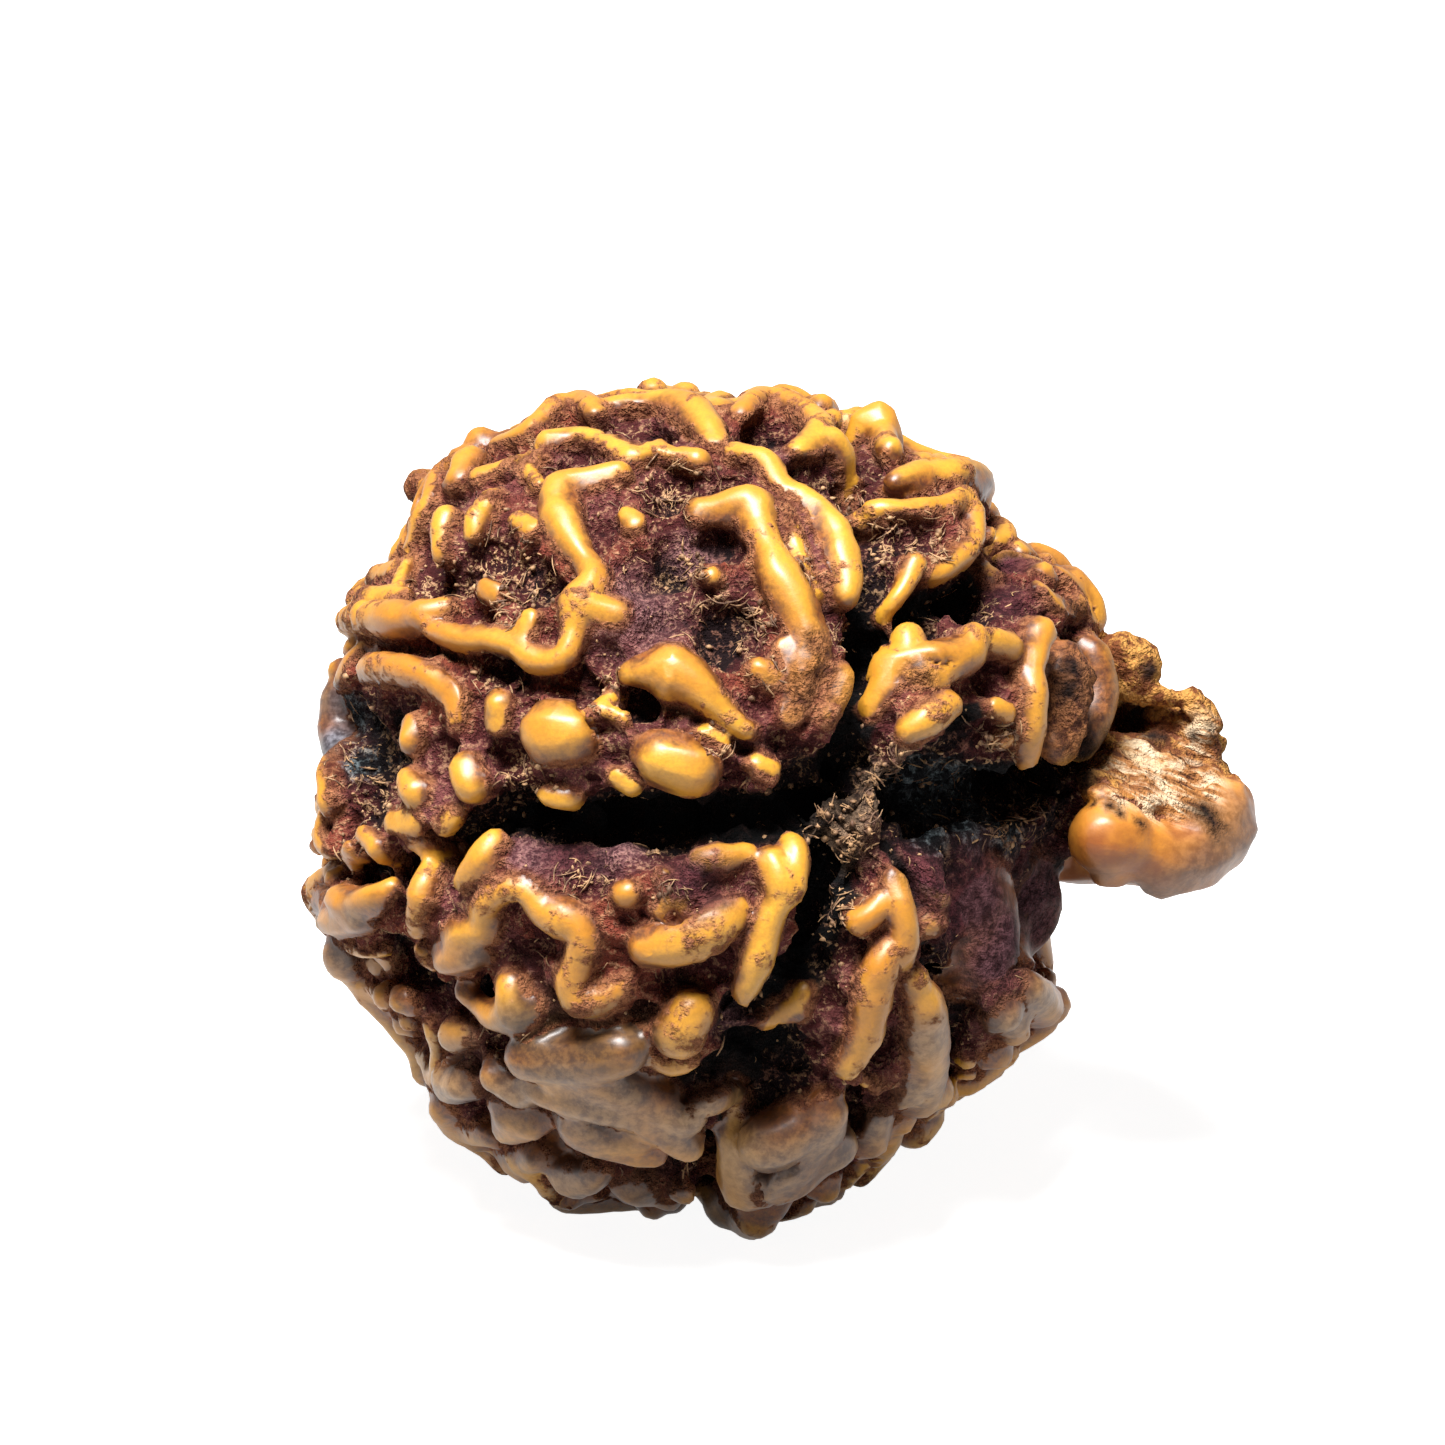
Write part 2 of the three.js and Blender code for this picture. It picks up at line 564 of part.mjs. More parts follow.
// A bead is one rounded lump, with a ring for its root, one round its side and one on its back
function beadPoints({ place, half }) {
  const out = place.clone().normalize();
  const side = new THREE.Vector3().crossVectors(out, TO_EYE).normalize();
  return BEAD_RINGS.flatMap(({ across, up, count }) => (
    Array.from({ length: count }, (_, i) => {
      const reach = side.clone().applyAxisAngle(out, (2 * Math.PI * i) / count);
      const level = up > 0 ? up * crestHeight(half) : -ROOT_DEPTH;
      return place.clone().addScaledVector(reach, across * half).addScaledVector(out, level);
    })
  ));
}

// Skins a row of sections, which all have the same number of points, and brings each end to a tip
function skinnedGeometry(sections, firstTip, lastTip) {
  const around = sections[0].length;
  const end = (sections.length - 1) * around;
  const tip = sections.length * around;
  const index = [];
  for (let i = 0; i < around; i += 1) {
    const next = (i + 1) % around;
    for (let row = 0; row < end; row += around) {
      index.push(row + i, row + around + i, row + around + next, row + i, row + around + next, row + next);
    }
    index.push(i, next, tip, end + next, end + i, tip + 1);
  }
  const places = [...sections.flat(), firstTip, lastTip].flatMap((point) => point.toArray());
  const geometry = new THREE.BufferGeometry();
  geometry.setAttribute('position', new THREE.Float32BufferAttribute(places, 3));
  geometry.setIndex(index);
  return geometry;
}

// A ridge is skinned over its sections; a lone station makes a bead
function ridgeSolid(ridge, middle) {
  if (ridge.length === 1) {
    return closedSolid(new ConvexGeometry(beadPoints(ridge[0])).translate(...middle));
  }
  const along = ridge.map((station, i) => {
    const before = ridge[Math.max(0, i - 1)].place;
    const after = ridge[Math.min(ridge.length - 1, i + 1)].place;
    return after.clone().sub(before).normalize();
  });
  const sections = ridge.map((station, i) => ridgeSection(station, along[i]));
  const firstTip = ridgeTip(ridge[0], along[0].clone().negate());
  const lastTip = ridgeTip(ridge.at(-1), along.at(-1));
  return solidFrom(skinnedGeometry(sections, firstTip, lastTip).translate(...middle));
}

// Of the parts of a solid that don't touch, the one with the most in it
const largest = (parts) => parts.reduce((most, part) => (part.volume() > most.volume() ? part : most));

// Everything grows together, and the underside is worn flat where the stone rests
const centreHeight = body.groundRadius(new THREE.Vector3(0, 0, -1)) - WORN_AWAY;
const below = new THREE.BoxGeometry(...WORN_BLOCK).translate(0, 0, -WORN_BLOCK[2] / 2 - centreHeight);
const grown = wasm.Manifold.union([
  solidFrom(groundGeometry(body, BODY_SPACING)),
  solidFrom(groundGeometry(trunk, TRUNK_SPACING)),
  ...body.ridges.map((ridge) => ridgeSolid(ridge, body.middle)),
  ...trunk.ridges.map((ridge) => ridgeSolid(ridge, trunk.middle)),
]);

function geometryFrom(solid) {
  const { vertProperties, triVerts } = solid.getMesh();
  const geometry = new THREE.BufferGeometry();
  geometry.setAttribute('position', new THREE.BufferAttribute(vertProperties, 3));
  geometry.setIndex(new THREE.BufferAttribute(triVerts, 1));
  geometry.computeVertexNormals();
  return geometry;
}

const stone = new THREE.Mesh(
  geometryFrom(largest(grown.subtract(closedSolid(below)).decompose())).translate(0, 0, centreHeight),
  new THREE.MeshStandardMaterial({ color: STONE_COLOUR, roughness: 0.45, metalness: 0 }),
);
stone.name = 'rudraksha_stone';

const seed = new THREE.Group();
seed.add(stone);

export default seed;
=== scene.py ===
# A rudraksha stone with a trunk, lying on a pale floor in soft light: a hard seed stone, deeply seamed,
# with glossy ochre ridges and beads over a dark, dusty, fibrous ground.
# The stone is shaped in millimetres about its own middle, and set down in metres at the end.

import math

import bpy
import numpy as np
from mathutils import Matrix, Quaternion, Vector, kdtree, noise


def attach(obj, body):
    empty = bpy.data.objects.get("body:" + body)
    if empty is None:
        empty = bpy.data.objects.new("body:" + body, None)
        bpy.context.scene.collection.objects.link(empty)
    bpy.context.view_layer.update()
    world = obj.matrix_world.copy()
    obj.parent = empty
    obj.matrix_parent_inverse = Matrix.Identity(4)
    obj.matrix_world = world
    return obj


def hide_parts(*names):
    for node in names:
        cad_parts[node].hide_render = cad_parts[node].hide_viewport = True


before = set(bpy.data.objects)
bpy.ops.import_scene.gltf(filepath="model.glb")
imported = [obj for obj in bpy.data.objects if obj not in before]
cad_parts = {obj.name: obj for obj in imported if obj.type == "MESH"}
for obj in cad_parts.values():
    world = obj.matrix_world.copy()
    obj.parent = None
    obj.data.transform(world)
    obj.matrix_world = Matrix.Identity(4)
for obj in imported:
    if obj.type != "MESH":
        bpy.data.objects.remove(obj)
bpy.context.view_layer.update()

# Driving dimensions, in millimetres
MM = 0.001
FACE_HEIGHT = 24.1
FRONT_DEPTH = 11.2
BACK_DEPTH = 11.6
BARE_RIM_EVERY_10_DEG = [
    11.0, 11.4, 11.8, 12.0, 11.3, 11.8, 11.3, 11.5, 11.5, 11.2, 11.5, 11.7,
    11.6, 11.7, 10.9, 11.0, 10.7, 10.6, 10.6, 10.9, 10.9, 10.4, 10.2, 11.1,
    11.1, 11.4, 11.0, 11.2, 11.6, 11.1, 10.6, 10.6, 10.8, 11.1, 10.1, 10.5,
]
WORN_AWAY = 0.25

# How the face was seen: the picture is square, and its eye looks down on the stone from the front
PICTURE_PX = 1445
FACE_HEIGHT_PX = 845
FACE_CENTRE_PX = (702, 805)
SCAR_PX = (860, 810)
EYE_ELEVATION = math.radians(20)
EYE_DISTANCE = 230
SENSOR_WIDTH = 36
MM_PER_PX = FACE_HEIGHT / FACE_HEIGHT_PX
RIGHT = np.array((1.0, 0.0, 0.0))
UP = np.array((0.0, math.sin(EYE_ELEVATION), math.cos(EYE_ELEVATION)))
TO_EYE = np.array((0.0, -math.cos(EYE_ELEVATION), math.sin(EYE_ELEVATION)))

# The eye's line is followed from in front of the body to behind its middle, in millimetres
LOOK_FROM = 15
LOOK_TO = -6
LOOK_STEP = 0.1

# Places this close together in the picture are at the same spot
SAME_SPOT_PX = 9

# Relief, in millimetres
RIDGE_LIFT = 0.45
CREST_STEEPNESS = 2.6
CREST_LIMIT = 1.2
SHOULDER_SPREAD = 2.4
SHOULDER_SHARE = 0.4
BACK_SEAM_HALF = 0.45
BACK_STEPS = 6
FINEST_SOLID_RIDGE = 0.25

# Hidden side: ridges grown by a rule from scattered starts, the first ones just as in the solid
SEED = 11
STARTS = 1600
START_STRIDE = 617
SEEN_LIMIT = 0.06
HIDDEN_HALF = 0.45
HIDDEN_HALF_SPREAD = 0.22
THINNEST_SHARE = 0.75
THINNEST_SHARE_SPREAD = 0.35
WALK_STEP = 1.6
WALK_TURN = 1.5
WALK_GAP = 0.8
SEAM_CLEARANCE = 1.15
TRUNK_CLEARANCE = 0.4
FEWEST_STATIONS = (4, 2)
MOST_STATIONS = 5
STATION_STEP = 1.0

# Arithmetic
GOLDEN_ANGLE = math.pi * (3 - math.sqrt(5))
WHOLE_WORD = 0xFFFFFFFF
CLOSEST = 1e-4
TINY = 1e-9
CURVE_SAMPLES = 200
POINTS_AT_ONCE = 20000

# Ridges and beads of the face, each a line of [x, y, half width] in picture pixels
CROWN_RIDGES = [
    [[497, 438, 8], [528, 427, 9], [560, 406, 13], [578, 400, 14], [594, 409, 9]],
    [[605, 402, 8], [655, 399, 12], [682, 407, 18], [702, 420, 17], [716, 438, 10]],
    [[548, 440, 13], [575, 430, 8], [615, 444, 8], [632, 454, 9], [658, 442, 6]],
    [[618, 472, 11], [588, 476, 12], [560, 490, 18], [561, 518, 18], [583, 556, 10], [594, 578, 13],
    [580, 603, 18], [573, 630, 9], [562, 656, 10], [533, 658, 12], [505, 642, 11], [455, 636, 12],
    [430, 628, 8]],
    [[590, 606, 15], [614, 612, 11]],
    [[345, 622, 12], [390, 618, 17], [425, 615, 16], [442, 606, 9]],
    [[515, 640, 9], [522, 628, 9], [528, 616, 7]],
    [[362, 602, 11], [378, 598, 12], [400, 592, 6]],
    [[470, 460, 15], [456, 476, 13]],
    [[434, 478, 10], [425, 500, 7], [416, 522, 10], [409, 542, 8]],
    [[478, 473, 9], [505, 462, 6]],
    [[490, 497, 9], [475, 520, 11], [470, 530, 8]],
    [[445, 518, 12], [440, 550, 10]],
    [[484, 587, 8], [492, 590, 8]],
    [[625, 511, 6], [633, 520, 9]],
    [[705, 403, 8], [738, 400, 7]],
    [[742, 408, 10], [768, 394, 12], [796, 404, 10], [820, 425, 13], [812, 440, 12], [798, 447, 8]],
    [[830, 440, 14], [852, 448, 14], [864, 458, 9]],
    [[735, 447, 8], [768, 460, 11], [780, 478, 9], [808, 495, 9], [828, 520, 16], [840, 548, 19],
    [847, 575, 15], [848, 592, 11]],
    [[703, 508, 13], [725, 507, 15], [750, 506, 23], [760, 530, 14], [768, 548, 13], [780, 578, 21],
    [800, 612, 20], [811, 645, 16], [812, 672, 12]],
    [[682, 452, 7], [697, 457, 11]],
]
BROW_RIDGES = [
    [[866, 412, 10], [884, 416, 14], [890, 448, 12]],
    [[925, 475, 12], [950, 475, 16], [978, 476, 15]],
    [[875, 498, 11], [900, 504, 7], [945, 502, 8], [966, 497, 10]],
    [[975, 510, 10], [976, 535, 10], [965, 553, 11], [945, 565, 9]],
    [[917, 562, 10], [905, 590, 8]],
    [[1020, 548, 9], [1036, 558, 8]],
    [[1065, 572, 9], [1097, 598, 9]],
    [[1045, 585, 6], [1060, 598, 8], [1095, 610, 6]],
]
RIGHT_RIDGES = [
    [[915, 635, 15], [912, 650, 13], [900, 670, 14], [888, 695, 10]],
    [[950, 650, 9], [952, 668, 10], [935, 676, 9], [922, 672, 11]],
    [[973, 638, 13], [972, 654, 13]],
    [[912, 728, 12], [930, 718, 14], [950, 704, 12]],
    [[845, 675, 12], [840, 695, 12], [830, 712, 9]],
    [[1040, 635, 17], [1034, 660, 16], [1033, 700, 14], [1035, 735, 14], [1045, 756, 12]],
    [[990, 640, 11], [1012, 645, 12]],
    [[1085, 640, 8], [1092, 672, 8], [1092, 705, 8], [1090, 750, 8], [1075, 772, 8]],
]
BAND_RIDGES = [
    [[335, 668, 9]],
    [[365, 668, 12], [390, 667, 14], [415, 672, 13], [435, 681, 10], [452, 697, 9], [453, 716, 6]],
    [[408, 724, 9], [408, 740, 11]],
    [[497, 703, 12], [496, 722, 9]],
    [[553, 732, 30], [570, 732, 28]],
    [[660, 758, 26], [690, 766, 27]],
    [[630, 674, 9], [648, 672, 17], [670, 672, 26], [690, 680, 20], [722, 710, 10], [745, 728, 8]],
    [[760, 763, 8], [773, 769, 9]],
    [[463, 768, 14], [469, 785, 16]],
    [[405, 780, 10], [416, 792, 14]],
    [[322, 765, 8], [325, 785, 10], [326, 803, 11]],
]
LOWER_LEFT_RIDGES = [
    [[320, 815, 8], [317, 840, 9], [321, 855, 7]],
    [[390, 822, 8], [412, 826, 8]],
    [[446, 819, 9], [436, 830, 7]],
    [[485, 842, 11], [479, 860, 15], [458, 882, 8]],
    [[456, 962, 9], [456, 938, 14], [481, 930, 15], [484, 908, 12], [500, 893, 11], [525, 890, 10],
    [545, 912, 15], [565, 919, 19], [582, 932, 14], [580, 960, 12], [571, 985, 14], [582, 1000, 15],
    [603, 998, 14], [624, 986, 5]],
    [[407, 852, 9], [413, 870, 11], [420, 895, 12], [414, 930, 7]],
    [[338, 900, 16], [355, 905, 17], [372, 897, 15], [382, 888, 8]],
    [[306, 905, 8], [309, 888, 9], [322, 868, 9], [345, 861, 6]],
    [[337, 955, 8], [345, 972, 8], [365, 986, 8], [383, 1000, 8]],
    [[400, 1003, 15]],
    [[510, 988, 14], [514, 1012, 18]],
    [[454, 1036, 15], [467, 1036, 8]],
    [[372, 850, 9]],
    [[625, 894, 11]],
    [[703, 862, 12], [722, 859, 12], [746, 853, 9]],
    [[648, 948, 17], [672, 943, 22], [700, 933, 25], [724, 919, 17], [739, 907, 7]],
    [[798, 846, 10], [799, 866, 12], [790, 888, 15], [775, 908, 13], [765, 938, 15], [757, 962, 14],
    [750, 983, 11], [741, 1003, 7]],
    [[774, 862, 13], [780, 884, 15]],
    [[690, 1014, 20], [680, 1032, 24]],
    [[650, 1058, 7], [672, 1067, 10], [690, 1062, 7]],
    [[816, 1018, 8], [803, 1038, 10], [776, 1054, 7]],
]
STRAND_RIDGES = [
    [[900, 884, 12], [904, 910, 13], [908, 945, 12], [905, 960, 10]],
    [[887, 905, 9], [868, 927, 12]],
    [[893, 952, 11], [882, 970, 17], [873, 1000, 17], [866, 1035, 16], [848, 1067, 12]],
    [[916, 978, 10], [924, 1005, 17], [926, 1040, 19], [924, 1075, 18], [910, 1100, 11]],
    [[945, 932, 10]],
]
UNDERSIDE_RIDGES = [
    [[1035, 992, 12], [1050, 1010, 17]],
    [[1008, 1018, 14]],
    [[1000, 1055, 14]],
    [[940, 1095, 14]],
    [[445, 1086, 12], [460, 1086, 13]],
    [[508, 1118, 16], [520, 1122, 14]],
    [[440, 1110, 12], [455, 1130, 12], [485, 1140, 10]],
    [[500, 1090, 9], [530, 1088, 10]],
    [[525, 1066, 7], [545, 1082, 7], [562, 1100, 7]],
    [[578, 1128, 20], [605, 1140, 17], [640, 1142, 12]],
    [[590, 1108, 8], [625, 1122, 9], [655, 1138, 10], [688, 1146, 7]],
    [[550, 1178, 18], [572, 1186, 19], [592, 1180, 12]],
    [[632, 1192, 15], [645, 1200, 10]],
    [[668, 1206, 10]],
    [[685, 1116, 7], [712, 1114, 8], [732, 1130, 8], [743, 1158, 8], [746, 1185, 7]],
    [[712, 1212, 11]],
    [[765, 1190, 30], [795, 1165, 34], [822, 1140, 22], [830, 1118, 16]],
    [[825, 1190, 13]],
    [[872, 1145, 15], [880, 1125, 10]],
]

# Seams of the face, from the scar outwards: [x, y, half width] in picture pixels
SEAMS = [
    {"depth": 1.5, "line": [[862, 760, 24], [868, 700, 22], [880, 650, 22], [880, 610, 18], [868, 560, 14],
    [860, 500, 13], [855, 465, 12], [848, 425, 12]]},
    {"depth": 1.2, "line": [[882, 640, 18], [935, 592, 18], [980, 578, 16], [1000, 550, 14], [990, 505, 12]]},
    {"depth": 1.6, "line": [[910, 795, 30], [980, 792, 34], [1050, 782, 28], [1090, 762, 24],
    [1122, 715, 18]]},
    {"depth": 0.9, "line": [[905, 850, 18], [938, 960, 12], [955, 1020, 12], [955, 1060, 12],
    [945, 1092, 10]]},
    {"depth": 1.5, "line": [[845, 860, 30], [835, 920, 32], [815, 980, 28], [785, 1035, 26], [760, 1085, 32],
    [728, 1150, 16], [700, 1205, 12]]},
    {"depth": 1.5, "line": [[850, 812, 30], [780, 820, 30], [700, 816, 30], [620, 815, 26], [560, 822, 22],
    [500, 815, 18], [450, 852, 16], [400, 868, 10], [345, 868, 8], [318, 862, 8]]},
    {"depth": 0.8, "line": [[850, 805, 20], [800, 782, 14], [745, 748, 9], [700, 718, 8], [600, 691, 8],
    [520, 672, 8], [455, 655, 8], [400, 645, 8], [342, 641, 8]]},
]
PITS = [
    {"depth": 1.5, "line": [[915, 792, 30], [960, 797, 38], [1005, 800, 28]]},
    {"depth": 0.7, "line": [[765, 428, 20], [782, 432, 14]]},
    {"depth": 0.8, "line": [[372, 965, 24], [405, 965, 26]]},
    {"depth": 0.6, "line": [[345, 826, 15]]},
    {"depth": 0.8, "line": [[848, 1142, 10], [852, 1110, 12], [842, 1088, 10]]},
    {"depth": 0.7, "line": [[545, 1160, 14], [578, 1166, 14]]},
    {"depth": 0.9, "line": [[690, 985, 24], [740, 1015, 14]]},
]
SWELLINGS = [
    {"height": 0.7, "line": [[828, 815, 22], [850, 832, 30], [878, 795, 16], [903, 765, 9]]},
    {"height": 0.4, "line": [[540, 1035, 40], [590, 1038, 44], [635, 1030, 30]]},
]

# Balls that make up the trunk, each [x, y, how far it stands forward, radius] in picture pixels
TRUNK_BALLS = [
    [1098, 836, 150, 42], [1124, 838, 100, 48], [1150, 842, 50, 56], [1200, 828, 20, 54],
    [1150, 835, -90, 56], [1130, 676, 20, 32], [1166, 712, 10, 40], [1190, 745, 10, 34],
    [1140, 722, -80, 50], [1165, 785, -20, 52],
]
TRUNK_MIDDLE = [1148, 790, 20]
BALL_BLEND = 5

# How far the trunk's middle is from its farthest skin, in millimetres
TRUNK_REACH = 8

# The trunk ends at these shares of its cords' radii from their middles
TRUNK_EDGE = 1.02
TRUNK_END = 1.25

# Small ridges and webs that only the skin has
FINE_RIDGES = [
    [[372, 578, 9], [392, 566, 8]],
    [[393, 592, 6], [398, 574, 6], [404, 556, 5]],
    [[516, 517, 6], [530, 526, 8]],
    [[515, 458, 5], [528, 468, 5], [537, 482, 6]],
    [[520, 460, 5], [530, 450, 5], [540, 452, 5]],
    [[660, 446, 7], [674, 452, 7]],
    [[712, 573, 6]],
    [[787, 648, 9]],
    [[782, 500, 5], [795, 530, 5], [802, 560, 5], [817, 592, 5]],
    [[800, 655, 13], [801, 688, 12], [792, 714, 8]],
    [[414, 952, 4], [427, 968, 4]],
    [[936, 891, 4], [947, 902, 6]],
    [[975, 1072, 8]],
    [[862, 1085, 4], [880, 1093, 4]],
    [[345, 950, 5], [370, 960, 5]],
    [[663, 878, 4], [667, 900, 5], [660, 912, 5]],
    [[687, 892, 4], [680, 906, 5]],
    [[540, 797, 8], [565, 802, 8]],
    [[615, 775, 6], [627, 787, 8]],
    [[760, 668, 9], [772, 676, 8]],
    [[705, 730, 6], [722, 740, 6]],
    [[400, 820, 7], [412, 815, 6]],
    [[360, 835, 7], [372, 848, 8], [368, 866, 7]],
    [[345, 850, 6], [332, 862, 6]],
    [[610, 690, 6], [600, 705, 6], [622, 716, 5]],
    [[905, 590, 8], [898, 600, 6]],
    [[1000, 705, 7], [1010, 712, 8]],
    [[1015, 738, 6]],
    [[1085, 600, 7], [1102, 620, 8]],
]

# Broad smooth lobes, low down and at the edge, that lap over one another
LOBES = [
    [[345, 916, 18], [372, 914, 16]],
    [[455, 956, 16], [478, 945, 20]],
    [[470, 986, 12], [492, 1004, 14], [512, 1010, 18], [532, 1003, 12]],
    [[458, 1078, 27]],
    [[455, 1118, 22], [480, 1132, 16]],
    [[500, 1068, 16], [530, 1086, 16]],
    [[515, 1118, 22], [540, 1112, 18]],
    [[518, 1150, 16], [540, 1150, 14]],
    [[535, 1048, 26], [580, 1050, 28], [625, 1040, 26]],
    [[560, 1066, 20], [610, 1078, 24], [655, 1094, 22], [690, 1112, 16]],
    [[545, 1080, 16], [585, 1092, 22], [625, 1100, 24], [665, 1120, 24], [690, 1136, 16]],
    [[590, 1125, 34], [625, 1136, 26], [655, 1142, 16]],
    [[568, 1182, 28]],
    [[720, 1206, 20], [745, 1208, 18]],
    [[738, 1150, 22], [748, 1185, 30]],
    [[795, 1125, 26], [765, 1145, 30]],
    [[768, 1180, 52], [800, 1165, 46], [828, 1145, 30]],
    [[828, 1180, 22]],
    [[868, 1142, 22], [885, 1122, 16]],
    [[920, 1000, 22], [923, 1060, 24], [915, 1092, 20]],
    [[938, 1090, 18]],
    [[1046, 1002, 22]],
    [[1005, 1014, 18]],
    [[1000, 1052, 16], [980, 1062, 10]],
    [[890, 490, 13], [925, 486, 22], [955, 486, 24], [974, 490, 19]],
    [[895, 665, 22], [925, 665, 22], [955, 660, 18]],
    [[1064, 668, 30], [1068, 704, 33], [1062, 742, 24]],
    [[1084, 660, 20], [1090, 700, 26], [1084, 738, 24]],
    [[1070, 585, 18], [1095, 605, 14]],
]

# How high a lobe's back is, and the half width from which it is that high, in millimetres
LOBE_HEIGHT = 0.85
FULL_LOBE_HALF = 0.5

# Ridges of the underside are lobes in the skin, and this much wider
UNDERSIDE_SPREAD = 1.35

# Lumps that stand out from the edge of the face
EDGE_LUMPS = [
    [[352, 622, 16], [370, 616, 14]],
    [[340, 672, 13]],
    [[341, 698, 22], [339, 728, 23], [341, 756, 18]],
    [[322, 798, 10]],
    [[320, 845, 12]],
    [[322, 900, 18], [340, 900, 16]],
    [[345, 960, 11], [358, 982, 10], [380, 996, 9]],
    [[400, 1003, 15]],
    [[445, 1075, 24]],
    [[455, 1120, 20]],
    [[510, 1145, 16]],
    [[568, 1180, 25]],
    [[632, 1182, 24]],
    [[672, 1196, 20]],
    [[730, 1208, 20]],
    [[765, 1195, 30]],
    [[825, 1182, 21]],
    [[868, 1146, 20]],
    [[930, 1100, 20], [945, 1085, 16]],
    [[995, 1054, 17], [975, 1066, 11]],
    [[1005, 1018, 17]],
    [[1048, 1005, 24]],
    [[382, 580, 10]],
    [[413, 535, 9]],
    [[430, 485, 12]],
    [[462, 462, 17]],
    [[510, 440, 13]],
    [[580, 405, 14]],
    [[655, 402, 14], [690, 405, 16]],
    [[765, 403, 18]],
    [[805, 414, 13]],
    [[864, 421, 15], [881, 416, 18], [893, 445, 13]],
    [[905, 486, 14], [925, 482, 18], [950, 482, 22], [972, 481, 19], [982, 504, 11]],
    [[1022, 552, 13]],
    [[1066, 580, 16], [1090, 600, 14], [1098, 622, 10]],
]
EDGE_SUNK = 0.15

# Broad low masses under the dark slope, sunk deeper
BROAD_LUMPS = [
    {"depth": 1.25, "line": [[1006, 890, 50], [1014, 894, 52], [1004, 916, 54], [996, 937, 44],
    [1000, 955, 32]]},
    {"depth": 1.45, "line": [[958, 896, 50], [966, 918, 56], [970, 945, 50]]},
]

# The fibrous plug in the scar
SCAR_PLUG = [
    [[826, 815, 26], [850, 836, 32], [845, 858, 22]],
    [[862, 802, 19], [880, 776, 16], [903, 761, 11]],
    [[838, 890, 14], [825, 925, 12]],
]
PLUG_SUNK = 0.95

# Seams and hollows are wider and deeper in the skin than in the solid, away from the ridges
SEAM_DEEPENING = 1.45
SEAM_WIDENING = 1.35
SKIN_PITS = [
    {"depth": 1.3, "line": [[905, 792, 26], [950, 800, 44], [990, 808, 34]]},
    {"depth": 1.6, "line": [[950, 722, 22], [975, 712, 18]]},
    {"depth": 1.5, "line": [[1060, 775, 18], [1110, 740, 22]]},
    {"depth": 1.4, "line": [[835, 900, 30], [825, 950, 30]]},
    {"depth": 0.9, "line": [[770, 425, 22], [785, 430, 16]]},
    {"depth": 1.2, "line": [[385, 962, 28], [415, 968, 22]]},
    {"depth": 0.8, "line": [[345, 826, 16]]},
    {"depth": 1.0, "line": [[378, 700, 16], [385, 740, 18]]},
    {"depth": 0.9, "line": [[730, 540, 22], [700, 535, 14]]},
    {"depth": 1.0, "line": [[495, 1005, 12], [470, 1000, 14]]},
    {"depth": 1.2, "line": [[545, 1160, 14], [585, 1170, 16]]},
    {"depth": 1.6, "line": [[628, 1176, 14], [660, 1172, 22], [690, 1172, 18]]},
    {"depth": 1.4, "line": [[650, 1085, 18], [720, 1085, 24], [790, 1090, 34]]},
    {"depth": 1.2, "line": [[680, 985, 22], [740, 1030, 20], [760, 1010, 16]]},
    {"depth": 0.9, "line": [[715, 885, 18], [690, 885, 14]]},
    {"depth": 0.9, "line": [[510, 950, 18], [530, 965, 16]]},
    {"depth": 1.0, "line": [[990, 968, 18], [965, 1010, 16], [955, 1040, 12]]},
    {"depth": 0.9, "line": [[940, 915, 10]]},
    {"depth": 1.0, "line": [[1008, 800, 14], [1030, 795, 12]]},
    {"depth": 1.3, "line": [[1072, 900, 22], [1062, 955, 26]]},
]

# Balls and rolls of the trunk's skin, each a line of [x, y, how far it stands forward, radius] in pixels
TRUNK_BEAN = [
    [[1098, 836, 140, 38], [1112, 838, 134, 37]],
    [[1104, 838, 136, 36], [1130, 843, 122, 32], [1155, 855, 104, 38], [1180, 846, 78, 48],
    [1206, 826, 48, 50]],
    [[1158, 872, 84, 28]],
    [[1206, 826, 48, 50], [1211, 808, 30, 44]],
    [[1098, 873, 126, 14], [1116, 874, 120, 11]],
    [[1087, 790, 140, 9], [1110, 792, 134, 10], [1132, 799, 124, 11], [1157, 808, 106, 13],
    [1180, 808, 86, 16]],
]
KNOB_AND_ROLL = [
    [[1092, 658, -6, 22], [1116, 660, 14, 26], [1138, 664, 22, 24]],
    [[1112, 690, 6, 14], [1130, 689, 14, 12], [1156, 694, 18, 11], [1182, 699, 16, 13], [1203, 712, 8, 16],
    [1208, 730, 6, 16], [1207, 752, 6, 15]],
    [[1165, 718, -14, 18], [1190, 730, -8, 20], [1200, 755, -8, 22]],
]
TRUNK_CORE = [
    [[1150, 780, -40, 50], [1185, 780, -20, 48]],
    [[1130, 715, -100, 46], [1156, 722, -50, 36], [1190, 745, -30, 34]],
    [[1070, 830, -150, 60], [1120, 835, -110, 54], [1160, 835, -50, 56], [1190, 830, 0, 48]],
    [[1140, 745, -120, 40], [1150, 790, -90, 50]],
]

# The torn shelf: strands side by side from its top line down to its foot, [x, y, how far forward] in pixels
SHELF_TOP = [[1120, 747, 0], [1160, 750, 4], [1206, 768, 2]]
SHELF_FOOT = [[1094, 788, 112], [1130, 800, 104], [1180, 812, 80]]
SHELF_STRANDS = 10
STRAND_HALF = 13
STRAND_HALF_SPREAD = 6

# The grain of the torn shelf runs this far right and down
TORN_RUN = (64, 30)

# The husk ends this far down the picture, and fades out over this height and towards the bean
HUSK_FOOT = 812
HUSK_FADE = 36
BEAN_HOLD = 1.5

